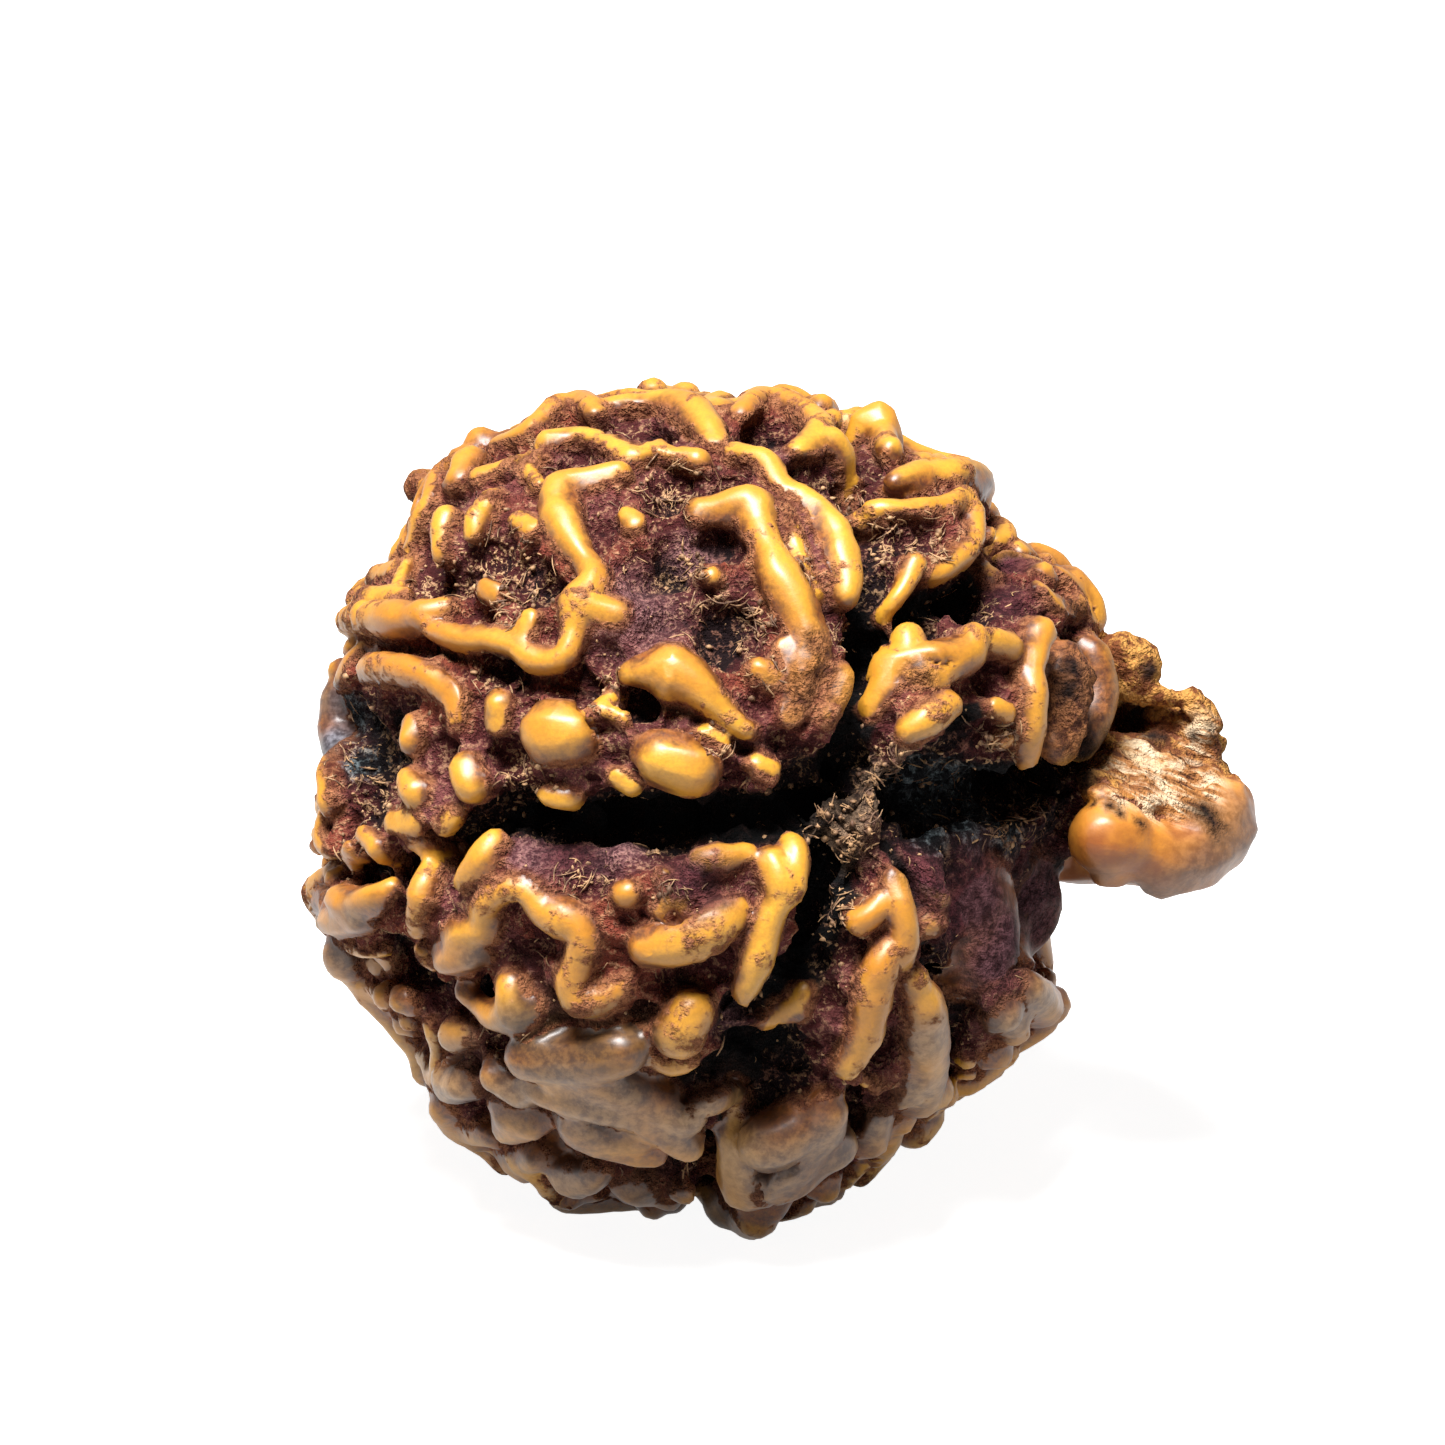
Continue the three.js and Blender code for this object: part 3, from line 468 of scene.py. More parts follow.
# Finer stations for what is seen, and finer ridges that only the skin has
FINE_STEP = 0.3
FILL_LIMIT = 0.3
FILL_HALF = 0.2
FILL_HALF_SPREAD = 0.24
FILL_STEP = 0.7
FILL_GAP = 0.24
FILL_FEWEST = (4, 1)
FILL_STATIONS = 9

# Cords that make up a ridge, in half widths of the ridge
ROOT_SIZE = 1.25
ROOT_DEPTH = 0.3
SKIN_CREST = 1.15
RIDGE_WIDENING = 1.1
RIDGE_SWELLS = 0.38
RIDGE_LUMPS = 0.34

# The dome at a cord's end, in radii: how far out, and how wide there
DOME = ((0.95, 0.31), (0.75, 0.66), (0.4, 0.92))

# How finely a ridge's cord is rounded, and how many stations near a place are tried for the nearest one
RIDGE_FINENESS = 2
STATIONS_TRIED = 3

# Between the ridges the ground falls away into valleys, in millimetres
SKIRT_HEIGHT = 0.5
SKIRT_END = 0.85
VALLEY_DEPTH = 0.7
VALLEY_START = 0.3
VALLEY_END = 1.3

# Lumps and grain of the skin, and how far off the ridges the ground starts to be rough, in millimetres
LUMPS = 0.55
CRUMBS = 0.12
RIDGE_GRAIN = 0.05
TORN_GRAIN = 0.3
HUSK_LUMPS = 0.3
ROUGH_START = 0.05
ROUGH_END = 0.4

# Shares: of roughness on brown and on smooth patches, and of the torn grain that is drawn out
BROWN_ROUGHNESS = 0.45
PATCH_SMOOTHNESS = 0.75
TORN_STRETCH = 0.85

# The lumps' noise has this many layers, and this middle value
LUMP_LAYERS = 3
LUMP_MIDDLE = 0.62

# How fast the relief swings, in swings a millimetre
RIDGE_SWELL_RATE = 0.6
RIDGE_LUMP_RATE = 1.4
RIDGE_GRAIN_RATE = 1.7
LUMP_RATE = 0.9
CRUMB_RATE = 4.2
HUSK_LUMP_RATE = 1.3
HUSK_CRUMB_RATE = 3.6
TORN_RATE = 3.0

# Mesh of the skin, in millimetres
SPHERE_SUBDIVISIONS = 6
VOXEL = 0.115
MELT = 0.5
MELT_ROUNDS = 7
SOFT_ROUNDS = 14
FAINTEST_SOFTNESS = 0.05
MOST_TRIANGLES = 194000

# Soft patches on the skin: [x, y, reach] in picture pixels, and where they fade out, in reaches
PATCH_END = 1.35
SOFT_PATCHES = {
    "velvet": [
        [640, 600, 54], [660, 640, 46], [530, 850, 34], [620, 838, 34], [500, 830, 30], [690, 560, 26],
        [790, 440, 14], [730, 1010, 24],
    ],
    "plum": [
        [940, 870, 50], [985, 900, 60], [1000, 590, 40], [1010, 560, 30], [960, 920, 40], [700, 885, 40],
        [1000, 960, 40], [1035, 895, 44], [1018, 930, 40], [1056, 885, 40], [1044, 925, 36], [985, 850, 40],
        [1030, 852, 36], [575, 852, 38],
    ],
    "olive": [[540, 1035, 45], [590, 1038, 45], [635, 1030, 35]],
    # Low lobes and edge lumps that the lamp above leaves in shade: painted grey-brown shade and floor bounce,
    # and a painted grey rim light at the left edge
    "lobe_shade": [
        [455, 1075, 46], [450, 1110, 46], [515, 1110, 46], [568, 1185, 50], [600, 1130, 56], [650, 1190, 50],
        [690, 1140, 46], [770, 1180, 70], [830, 1150, 50], [870, 1130, 44], [925, 1050, 38], [925, 1100, 44],
        [1000, 1040, 50], [1050, 1005, 44], [1035, 900, 44], [1020, 945, 40], [345, 962, 30], [345, 922, 18],
        [470, 962, 18], [505, 1022, 18], [325, 700, 24], [700, 1215, 40], [850, 1170, 40], [325, 740, 30],
        [700, 1108, 34], [742, 1130, 34], [560, 1085, 34], [640, 1090, 36], [745, 1100, 34], [480, 1040, 24],
    ],
    # Grey-blue: streaks in the pit by the scar, and a painted rim light on the lumps at the left edge
    "slate": [
        [940, 790, 45], [975, 800, 45], [915, 780, 30], [350, 720, 34], [355, 760, 26], [960, 815, 30],
        [1005, 818, 30], [930, 825, 26], [334, 702, 24], [332, 732, 26],
    ],
    "scar": [[845, 830, 34], [860, 800, 24], [880, 775, 20], [900, 762, 14]],
    "torn": [
        [1122, 756, 26], [1155, 764, 40], [1190, 776, 36], [1150, 790, 26], [1188, 798, 28], [1205, 745, 26],
        [1150, 744, 24], [1185, 752, 26], [1212, 770, 20], [1216, 786, 14], [1120, 790, 16], [1165, 806, 18],
    ],
    "brown": [
        [1070, 700, 44], [1076, 655, 34], [1098, 700, 70], [1094, 738, 50], [1060, 680, 24],
        [820, 690, 44], [920, 670, 20], [1075, 590, 30], [1090, 615, 20], [815, 640, 20], [905, 760, 16],
    ],
    "bean": [
        [1090, 840, 40], [1130, 855, 40], [1100, 868, 34], [1165, 880, 52], [1200, 850, 50], [1215, 862, 58],
        [1236, 830, 66],
    ],
    # Painted shade, browner and greyer, towards the lower right of the bean
    "bean_shade": [
        [1230, 845, 46], [1206, 876, 42], [1165, 900, 40], [1096, 882, 20], [1246, 826, 44],
        [1240, 862, 40],
    ],
    # Black-brown spots: stains on the knob and the husk, and painted shadow in the void behind the roll, in
    # the crack above the bean and in the gaps beside the trunk
    "stain_and_shadow": [
        [1211, 806, 19], [1218, 818, 15], [1045, 778, 24], [1066, 790, 18], [1147, 668, 13],
        [1188, 733, 8], [1214, 743, 7], [1092, 797, 7], [1106, 801, 8], [1122, 807, 9], [1138, 815, 8],
        [1130, 718, 24], [1110, 745, 24], [1150, 728, 14], [1092, 755, 24], [1078, 775, 18],
        [1165, 728, 8], [1068, 868, 16], [1064, 668, 15], [1066, 694, 15],
    ],
}

# Tufts of loose fibres and crumbs in the ground: [x, y, reach, how many]
TUFTS = [
    [528, 580, 20, 26], [490, 560, 40, 50], [432, 585, 20, 24], [510, 612, 24, 22], [500, 672, 22, 22],
    [690, 560, 18, 30], [672, 485, 30, 44], [750, 625, 20, 44], [715, 605, 14, 14], [802, 560, 18, 24],
    [855, 508, 18, 22], [885, 540, 22, 28], [930, 545, 26, 44], [605, 690, 18, 26], [375, 800, 26, 30],
    [580, 872, 20, 22], [845, 915, 32, 34], [720, 745, 18, 16], [768, 668, 18, 18], [530, 785, 26, 26],
    [1000, 745, 26, 54], [1020, 820, 32, 44], [845, 830, 36, 60], [880, 775, 26, 40], [668, 898, 18, 22],
    [505, 1045, 18, 14], [978, 600, 20, 16], [825, 941, 10, 8], [840, 633, 10, 8], [655, 847, 6, 5],
    [360, 760, 30, 24], [1092, 680, 16, 24], [940, 780, 34, 12], [700, 1150, 24, 12], [345, 855, 18, 14],
]

# Loose stuff lies this far off the ridges, in millimetres, and off the flat and the trunk
TUFT_OFF = 0.12
LOOSE_OFF = 0.28
FLAT_CLEARANCE = 0.8
OFF_TRUNK = 0.1

# Fibres, in millimetres, and their bows as shares of their length
LOOSE_FIBRES = 900
FIBRE_LENGTH = 0.15
FIBRE_LENGTH_SPREAD = 0.6
FIBRE_HALF = 0.014
FIBRE_HALF_SPREAD = 0.02
FIBRE_TIP = 0.45
FIBRE_SUNK = 0.02
FIBRE_ARCH = 0.02
FIBRE_ARCH_SPREAD = 0.09
FIBRE_SWAY = 0.4
FIBRE_STATIONS = 5

# Crumbs, in millimetres, and how uneven they are
LOOSE_CRUMBS = 1500
CRUMB_HALF = 0.025
CRUMB_HALF_SPREAD = 0.06
CRUMB_STRETCH = 0.6
CRUMB_CORNER = 0.7
CRUMB_CORNER_SPREAD = 0.6

# Smooth places, in picture pixels, that the rule leaves bare
BARE_EDGES = [
    [1072, 900, 36], [1066, 940, 32], [1092, 700, 24], [1089, 745, 20],
    [331, 794, 4], [360, 763, 5], [341, 708, 6], [331, 783, 5], [340, 729, 4],
]
BARE_PLACES = [
    [1030, 900, 75], [1050, 950, 60], [1075, 690, 70], [1000, 590, 40], [960, 900, 60], [1085, 620, 30],
    [330, 740, 46], [325, 830, 40], [450, 1100, 40], [510, 1130, 40], [570, 1175, 45], [640, 1185, 45],
    [700, 1195, 45], [780, 1190, 60], [860, 1150, 45], [930, 1095, 40], [1000, 1050, 40],
]

# Colours as they look on a screen, 0 to 255, in pairs that mix over the surface
TONES = {
    # Ground deep in the valleys: its own dark tone, darkened further as painted shade
    "deep ground": ((22, 5, 8), (70, 26, 26)),
    "warm ground": ((126, 60, 44), (116, 64, 62)),
    "speck": ((184, 128, 106), (212, 168, 124)),
    "velvet": ((78, 44, 50), (156, 112, 110)),
    "plum ground": ((46, 17, 22), (94, 46, 52)),
    "olive ground": ((58, 40, 22), (84, 62, 36)),
    # Near black deep in the seams: partly the seams' own dark tone, partly painted shade
    "seam_dark_and_shade": ((3, 2, 3), (44, 29, 26)),
    # Grey-blue of the scar's pit, also a painted rim light at the left edge
    "slate ground": ((18, 19, 22), (128, 140, 144)),
    "scar": ((54, 38, 30), (146, 118, 94)),
    "fringe": ((86, 40, 28), (160, 104, 70)),
    "ochre": ((192, 124, 34), (218, 158, 48)),
    # Red-brown down the sides of a ridge, below its ochre back: painted shade
    "flank": ((82, 40, 22), (136, 76, 30)),
    # Painted grey-brown shade and floor bounce on the low lobes
    "lobe_shade ridge": ((114, 84, 60), (162, 128, 92)),
    "olive ridge": ((62, 42, 22), (96, 70, 38)),
    "plum ridge": ((48, 18, 25), (106, 68, 75)),
    "slate ridge": ((46, 44, 52), (126, 124, 132)),
    "brown ridge": ((72, 38, 28), (158, 104, 68)),
    "bean": ((146, 80, 28), (204, 132, 44)),
    # Painted shade on the bean's lower right
    "bean_shade": ((100, 68, 46), (148, 106, 74)),
    "husk": ((120, 68, 38), (204, 146, 76)),
    "torn": ((166, 110, 62), (232, 208, 174)),
    # Stains, and painted shadow in voids and cracks
    "stain_and_shadow": ((12, 7, 7), (52, 32, 25)),
    "fibre": ((96, 66, 46), (178, 138, 98)),
}
# Painted highlight on the tops of the ground's highest lumps
PAINTED_HIGHLIGHT_ON_LUMPS = (170, 108, 76)
OCHRE_SPECK = (164, 108, 40)
# Painted shade in the creases of the shaded low lobes, and at the feet of their ridges
LOBE_CREASE_SHADE = (58, 38, 29)
LOBE_SHADE_FRINGE = (92, 62, 46)
TORN_CREASE = (84, 50, 34)

# Grains of the surface: [swings a metre, layers, roughness]
GRAINS = {
    "coarse": [260, 4, 0.55],
    "middle": [900, 5, 0.55],
    "fine": [3600, 4, 0.65],
    "finest": [9000, 2, 0.6],
    "strands": [4200, 3, 0.6],
    "fibre": [3000, 4, 0.55],
}

# How far the grains swing a value, grain by grain, from their middle
GRAIN_MIDDLE = 0.5
SWINGS = {
    "level": [1.0, 1.2],
    "dusty": [1.6],
    "speck": [0.7],
    "velvet": [0.9],
    "lit_rise": [0.36, 0.2],
    "edge": [0.2, 0.2],
    "bean": [0.6],
    "shreds": [1.2],
    "torn": [1.1],
    "torn crease": [1.0],
}

# Where a tone or a finish starts and where it is full: on a grain of 0 to 1, or in millimetres
BANDS = {
    "fine": [0.36, 0.64],
    "fibre": [0.4, 0.6],
    "deep": [-0.95, -0.4],
    "low": [-0.35, 0.25],
    "high": [0.3, 0.8],
    "warm": [0.42, 0.58],
    "dusty": [0.1, 0.5],
    "speck": [0.51, 0.66],
    "speck tone": [0.4, 0.6],
    "velvet": [0.32, 0.7],
    "seam_dark_and_shade": [0.45, 0.75],
    "sunk": [0.5, 1.4],
    "slate": [0.46, 0.7],
    "ochre": [0.3, 0.7],
    "ochre speck": [0.3, 0.75],
    "lit_rise back": [0.52, 0.98],
    "lobe_shade back": [0.25, 0.9],
    "bean": [0.35, 0.68],
    "shreds": [0.36, 0.64],
    "torn": [0.4, 0.66],
    "torn crease": [0.3, 0.42],
    "ridge foot": [0.05, 0.13],
    "ground": [0.14, 0.36],
    "dry": [0.0, 1.0],
}

# How thickly each patch lies over the ground, the feet of the ridges, their backs and the trunk
GROUND_COVER = {"velvet": 0.85, "plum": 0.85, "olive": 0.85, "slate": 1.0, "scar": 0.9, "lobe_shade": 0.5}
FRINGE_COVER = {"plum": 1.0, "lobe_shade": 0.7}
RIDGE_COVER = {"lobe_shade": 0.85, "olive": 0.85, "plum": 0.95, "slate": 0.9, "brown": 0.9}
TRUNK_COVER = {"bean_shade": 0.8, "husk": 1.0, "torn": 1.0, "stain_and_shadow": 1.0}
SPECK_COVER = (0.34, 0.85)
TUFT_DUST = 0.5
OCHRE_SPECKS = 0.3
TORN_DRAWN_OUT = 7

# Gloss
DRY_PATCHES = ("torn", "husk", "stain_and_shadow", "brown", "plum")
DRY_ROUGHNESS = 0.9
POLISHED_ROUGHNESS = (0.34, 0.5)
POLISHED_BUMP = 0.1
BUMP_DEPTH = 0.00025
COAT_ROUGHNESS = 0.4
STONE_SHINE = 0.2
FIBRE_ROUGHNESS = 0.65

# The room, in metres, and the lamp, in millimetres and watts
WHITE = (1.0, 1.0, 1.0, 1.0)
ROOM_SIDES = 64
ROOM_RADIUS = 1.1
ROOM_HEIGHT = 1.2
ROOM_LIGHT = 0.07
NEAREST_SEEN = 0.01
LAMP_PLACE = (-55, -115, 385)
LAMP_SIZE = 165
LAMP_POWER = 4.5
FLOOR_PAINT_UNSEEN = (0.32, 0.32, 0.32, 1.0)
FLOOR_PAINT_SEEN = (0.5, 0.5, 0.5, 1.0)
FLOOR_ROUGHNESS = 0.9
FLOOR_GLOW_SEEN = 0.93
FLOOR_GLOW_MIRRORED = 0.35


# Numbers and lines


def seeded_draw(seed):
    """Repeatable draws from 0 to 1, by mixing the bits of a running sum."""
    state = seed

    def draw():
        nonlocal state
        state = (state + 0x6D2B79F5) & WHOLE_WORD
        mixed = ((state ^ (state >> 15)) * (1 | state)) & WHOLE_WORD
        mixed = ((mixed + (mixed ^ (mixed >> 7)) * (61 | mixed)) & WHOLE_WORD) ^ mixed
        return ((mixed ^ (mixed >> 14)) & WHOLE_WORD) / (WHOLE_WORD + 1)

    return draw


def unit(vectors):
    """Vectors of length 1 in the same directions."""
    return vectors / np.linalg.norm(vectors, axis=-1, keepdims=True)


def spiral_direction(index, count):
    """Directions spread evenly over a sphere, as on a sunflower's head."""
    height = 1 - (2 * index + 1) / count
    reach = math.sqrt(1 - height * height)
    turn = index * GOLDEN_ANGLE
    return np.array((reach * math.cos(turn), reach * math.sin(turn), height))


def turned(vector, axis, angle):
    """A vector turned about an axis."""
    return np.array(Quaternion(Vector(axis), angle) @ Vector(vector))


def smooth_step(values, low, high):
    """0 below low, 1 above high."""
    share = np.clip((values - low) / (high - low), 0, 1)
    return share * share * (3 - 2 * share)


def picture_spot(px, py, forward_px=0.0):
    """A picture place, standing forward of the plane through the stone's middle that faces the eye."""
    across = (px - FACE_CENTRE_PX[0]) * MM_PER_PX
    above = (FACE_CENTRE_PX[1] - py) * MM_PER_PX
    return RIGHT * across + UP * above + TO_EYE * (forward_px * MM_PER_PX)


EYE = picture_spot(PICTURE_PX / 2, PICTURE_PX / 2) + TO_EYE * EYE_DISTANCE
TRUNK_CENTRE = picture_spot(*TRUNK_MIDDLE)
TORN_GRAIN_LINE = unit(RIGHT * TORN_RUN[0] - UP * TORN_RUN[1])


def picture_places(places):
    """Where the eye sees some places, in picture pixels."""
    out = places - EYE
    scale = EYE_DISTANCE / -(out @ TO_EYE) / MM_PER_PX
    return PICTURE_PX / 2 + out @ RIGHT * scale, PICTURE_PX / 2 - out @ UP * scale


def root_gap(start, end, otherwise):
    """The root of the distance between two points, or another value where they meet."""
    gap = math.sqrt(np.linalg.norm(end - start))
    return gap if gap > CLOSEST else otherwise


def curve_point(places, share):
    """A point on the smooth centripetal curve through places, at a share from 0 to 1."""
    at = share * (len(places) - 1)
    first = min(int(at), len(places) - 2)
    weight = at - first
    second = places[first]
    third = places[first + 1]
    before = places[first - 1] if first > 0 else 2 * places[0] - places[1]
    after = places[first + 2] if first + 2 < len(places) else 2 * places[-1] - places[-2]
    gap = root_gap(second, third, 1.0)
    gap_before = root_gap(before, second, gap)
    gap_after = root_gap(third, after, gap)
    slope_in = (second - before) / gap_before - (third - before) / (gap_before + gap) + (third - second) / gap
    slope_out = (third - second) / gap - (after - second) / (gap + gap_after) + (after - third) / gap_after
    slope_in = slope_in * gap
    slope_out = slope_out * gap
    cubic = 2 * second - 2 * third + slope_in + slope_out
    square = -3 * second + 3 * third - 2 * slope_in - slope_out
    return ((cubic * weight + square) * weight + slope_in) * weight + second


def curve_length(places):
    """How long the smooth curve through places is."""
    points = np.array([curve_point(places, i / CURVE_SAMPLES) for i in range(CURVE_SAMPLES + 1)])
    return np.linalg.norm(np.diff(points, axis=0), axis=1).sum()


def segments_of(line):
    """Starts and ends of a line's segments, or twice the one station that a bead has."""
    return (line[:-1], line[1:]) if len(line) > 1 else (line, line)


def shares_off(segments, points):
    """How far each point is from each segment of some lines, in half widths."""
    starts, ends = segments
    along = ends[:, :3] - starts[:, :3]
    out = points[None] - starts[:, None, :3]
    blend = np.einsum("snk,sk->sn", out, along) / np.maximum((along**2).sum(axis=1), TINY)[:, None]
    blend = np.clip(blend, 0, 1)
    width = starts[:, 3, None] + (ends[:, 3] - starts[:, 3])[:, None] * blend
    return np.linalg.norm(out - blend[..., None] * along[:, None], axis=2) / width


def hollow(share):
    """How deep a smooth hollow is, as a share of its depth, at a share of its half width from its middle."""
    return np.where(share < 1, (1 - np.minimum(share, 1) ** 2) ** 2, 0)


def slit(share):
    """A seam is a narrow hollow in a wider, shallow one."""
    return (1 - SHOULDER_SHARE) * hollow(share) + SHOULDER_SHARE * hollow(share / SHOULDER_SPREAD)


def trough(share):
    """A flat-bottomed hollow with steep sides."""
    return np.where(share < 1, (1 - np.minimum(share, 1) ** 3) ** 2, 0)


def crest_height(half):
    """Narrow ridges stand taller than they are wide, broad ones are low."""
    return CREST_LIMIT * (1 - np.exp(-CREST_STEEPNESS * half / CREST_LIMIT))


# The bare forms of body and trunk


def bare_rim(angle):
    """The rim of the bare body round the picture, smoothed between its measured radii."""
    rim = np.array(BARE_RIM_EVERY_10_DEG)
    place = (angle / (2 * math.pi) * len(rim) + len(rim)) % len(rim)
    first = np.floor(place).astype(int) % len(rim)
    blend = (1 - np.cos((place - np.floor(place)) * math.pi)) / 2
    return rim[first] * (1 - blend) + rim[(first + 1) % len(rim)] * blend


def bare_body_radius(directions):
    """How far the bare body reaches: to its depth forward and back, and to its rim round the picture."""
    across = directions @ RIGHT
    above = directions @ UP
    forward = directions @ TO_EYE
    depth = np.where(forward > 0, FRONT_DEPTH, BACK_DEPTH)
    rim = bare_rim(np.arctan2(above, across))
    return 1 / np.hypot(np.hypot(across, above) / rim, forward / depth)


def bare_trunk_radius(directions):
    """The rounded form that the trunk's balls make together, seen from the trunk's middle."""
    total = 0
    for x, y, forward, radius in TRUNK_BALLS:
        middle = picture_spot(x, y, forward) - TRUNK_CENTRE
        along = directions @ middle
        square = along**2 - middle @ middle + (radius * MM_PER_PX) ** 2
        total = total + np.where(square > 0, np.exp(BALL_BLEND * (along + np.sqrt(np.maximum(square, 0)))), 0)
    return np.log(np.maximum(total, TINY)) / BALL_BLEND


class Body:
    """The stone's rounded body about its own middle, with what is sunk into it and raised from it."""

    def __init__(self):
        self.seams = []
        self.pits = []
        self.wide_seams = []
        self.wide_pits = []
        self.swellings = []
        self.ridges = []
        self.fine_ridges = []

    def seen_place(self, px, py, depth=0.0):
        """Where the eye's line first gets this deep into the body, or passes closest to it."""
        spot = picture_spot(px, py)
        ahead = np.arange(LOOK_FROM, LOOK_TO, -LOOK_STEP)
        points = spot + ahead[:, None] * unit(EYE - spot)
        gaps = np.linalg.norm(points, axis=1) - bare_body_radius(unit(points)) + depth
        inside = np.flatnonzero(gaps < 0)
        return points[inside[0] if len(inside) else gaps.argmin()]

    def seen_direction(self, px, py, lift=0.0):
        return unit(self.seen_place(px, py, -lift))

    def guides(self, pixels, lift=0.0):
        """A picture line's guide points: (direction, half width)."""
        return [(self.seen_direction(x, y, lift), half * MM_PER_PX) for x, y, half in pixels]

    def line(self, guides, shell, step=STATION_STEP):
        """A smooth line on a shell of the body through its guide points, with a width that follows it."""
        directions = np.array([direction for direction, half in guides])
        halves = np.array([half for direction, half in guides])
        places = directions * shell(directions)[:, None]
        if len(guides) == 1:
            return np.column_stack((places, halves))
        count = math.ceil(curve_length(places) / step)
        shares = np.arange(count + 1) / count
        smooth = unit(np.array([curve_point(places, share) for share in shares]))
        width = np.interp(shares * (len(guides) - 1), np.arange(len(guides)), halves)
        return np.column_stack((smooth * shell(smooth)[:, None], width))

    def sunk(self, directions):
        """How deep the seams and pits are."""
        return self.deepest(directions, self.seams, self.pits, slit, hollow)

    def skin_sunk(self, directions):
        """How deep the wider seams and pits of the skin are."""
        return self.deepest(directions, self.wide_seams, self.wide_pits, trough, trough)

    def deepest(self, directions, seams, pits, seam_form, pit_form):
        """The deepest of some seams and pits in each direction."""
        points = directions * bare_body_radius(directions)[:, None]
        depth = np.zeros(len(points))
        for chunk in np.array_split(np.arange(len(points)), max(1, len(points) // POINTS_AT_ONCE)):
            for lines, form in ((seams, seam_form), (pits, pit_form)):
                for full_depth, line in lines:
                    share = shares_off(segments_of(line), points[chunk]).min(axis=0)
                    depth[chunk] = np.maximum(depth[chunk], full_depth * form(share))
        return depth

    def ground_radius(self, directions):
        """Radius of the ground between the ridges."""
        bare = bare_body_radius(directions)
        points = directions * bare[:, None]
        raised = 0
        for height, line in self.swellings:
            raised = raised + height * hollow(shares_off(segments_of(line), points).min(axis=0))
        return bare - self.sunk(directions) + raised

    def add_seen_ridges(self, *groups):
        """The ridges that the solid has too, with the solid's stations and with finer ones."""
        for group in groups:
            for pixels in group:
                guides = self.guides(pixels, RIDGE_LIFT)
                self.fine_ridges.append(self.line(guides, self.ground_radius, FINE_STEP))
                if max(half for x, y, half in pixels) * MM_PER_PX >= FINEST_SOLID_RIDGE:
                    self.ridges.append(self.line(guides, self.ground_radius))

    def add_fine_ridges(self, group):
        for pixels in group:
            self.fine_ridges.append(self.line(self.guides(pixels, RIDGE_LIFT), self.ground_radius, FINE_STEP))
        self.ridges += self.fine_ridges[-len(group):]

    def has_room(self, place, half, own, gap):
        """Room round a place, clear of other ridges and of the seams."""
        own_far = [np.array(own[:-2])] if len(own) > 2 else []
        others = np.concatenate(self.ridges + own_far)
        off = np.linalg.norm(others[:, :3] - place, axis=1)
        if (off <= others[:, 3] + half + gap).any():
            return False
        return self.seam_share(place) > SEAM_CLEARANCE

    def seam_share(self, place):
        """How far a place is from the nearest seam, in the seam's half widths."""
        return min(shares_off(segments_of(line), place[None]).min() for depth, line in self.seams)

    def wandering_ridge(self, start, draw, halves, step, gap, most):
        """One ridge of the rule: it wanders from its start until it meets something."""
        widest = halves[0] + halves[1] * draw()
        direction = start.copy()
        heading = unit(np.cross((draw() - 0.5, draw() - 0.5, draw() - 0.5), direction))
        ridge = []
        while len(ridge) < most:
            half = widest * (THINNEST_SHARE + THINNEST_SHARE_SPREAD * draw())
            place = direction * self.ground_radius(direction[None])[0]
            if not self.has_room(place, half, ridge, gap):
                break
            ridge.append((*place, half))
            heading = turned(heading, direction, (draw() - 0.5) * WALK_TURN)
            direction = unit(direction + heading * step / np.linalg.norm(place))
            heading = unit(heading - direction * (heading @ direction))
        return np.array(ridge)

    def add_ruled_ridges(self, draw, is_open, lengths, halves, step, gap, most):
        """Fills the open ground, first with long ridges and then with short ones between them."""
        for fewest in lengths:
            for i in range(STARTS):
                start = spiral_direction((i * START_STRIDE) % STARTS, STARTS)
                if not is_open(start):
                    continue
                ridge = self.wandering_ridge(start, draw, halves, step, gap, most)
                if len(ridge) >= fewest:
                    self.ridges.append(ridge)
                    self.fine_ridges.append(self.smoothed(ridge))

    def smoothed(self, ridge):
        """The same ridge with finer stations."""
        if len(ridge) == 1:
            return ridge
        guides = [(unit(station[:3]), station[3]) for station in ridge]
        return self.line(guides, self.ground_radius, FINE_STEP)


body = Body()
draw = seeded_draw(SEED)
back_pole = -body.seen_direction(*SCAR_PX)
bare_places = [(body.seen_direction(x, y), reach / FACE_HEIGHT_PX * 2) for x, y, reach in BARE_PLACES]


# Lines on the body and cords in the picture


def seam_round_back(pixels):
    """Seams run on round the back to the far pole."""
    guides = body.guides(pixels)
    direction, half = guides[-1]
    for step in range(1, BACK_STEPS + 1):
        share = step / BACK_STEPS
        way = unit(direction + (back_pole - direction) * share)
        guides.append((way, half + (BACK_SEAM_HALF - half) * share))
    return body.line(guides, bare_body_radius)


def bare_line(pixels):
    """A picture line on the bare body."""
    return body.line(body.guides(pixels), bare_body_radius)


def widened(line, share):
    return line * (1, 1, 1, share)


def cord_through(guides):
    """A smooth cord through (x, y, z, radius) guides."""
    guides = np.array(guides)
    if len(guides) == 1:
        return guides
    places = guides[:, :3]
    shares = np.linspace(0, 1, math.ceil(curve_length(places) / FINE_STEP) + 1)
    radii = np.interp(shares * (len(guides) - 1), np.arange(len(guides)), guides[:, 3])
    return np.column_stack(([curve_point(places, share) for share in shares], radii))


def sunk_cord(pixels, depth):
    """A cord whose middle line lies this deep in the bare body, as the eye sees it."""
    return cord_through([(*body.seen_place(x, y, depth), half * MM_PER_PX) for x, y, half in pixels])


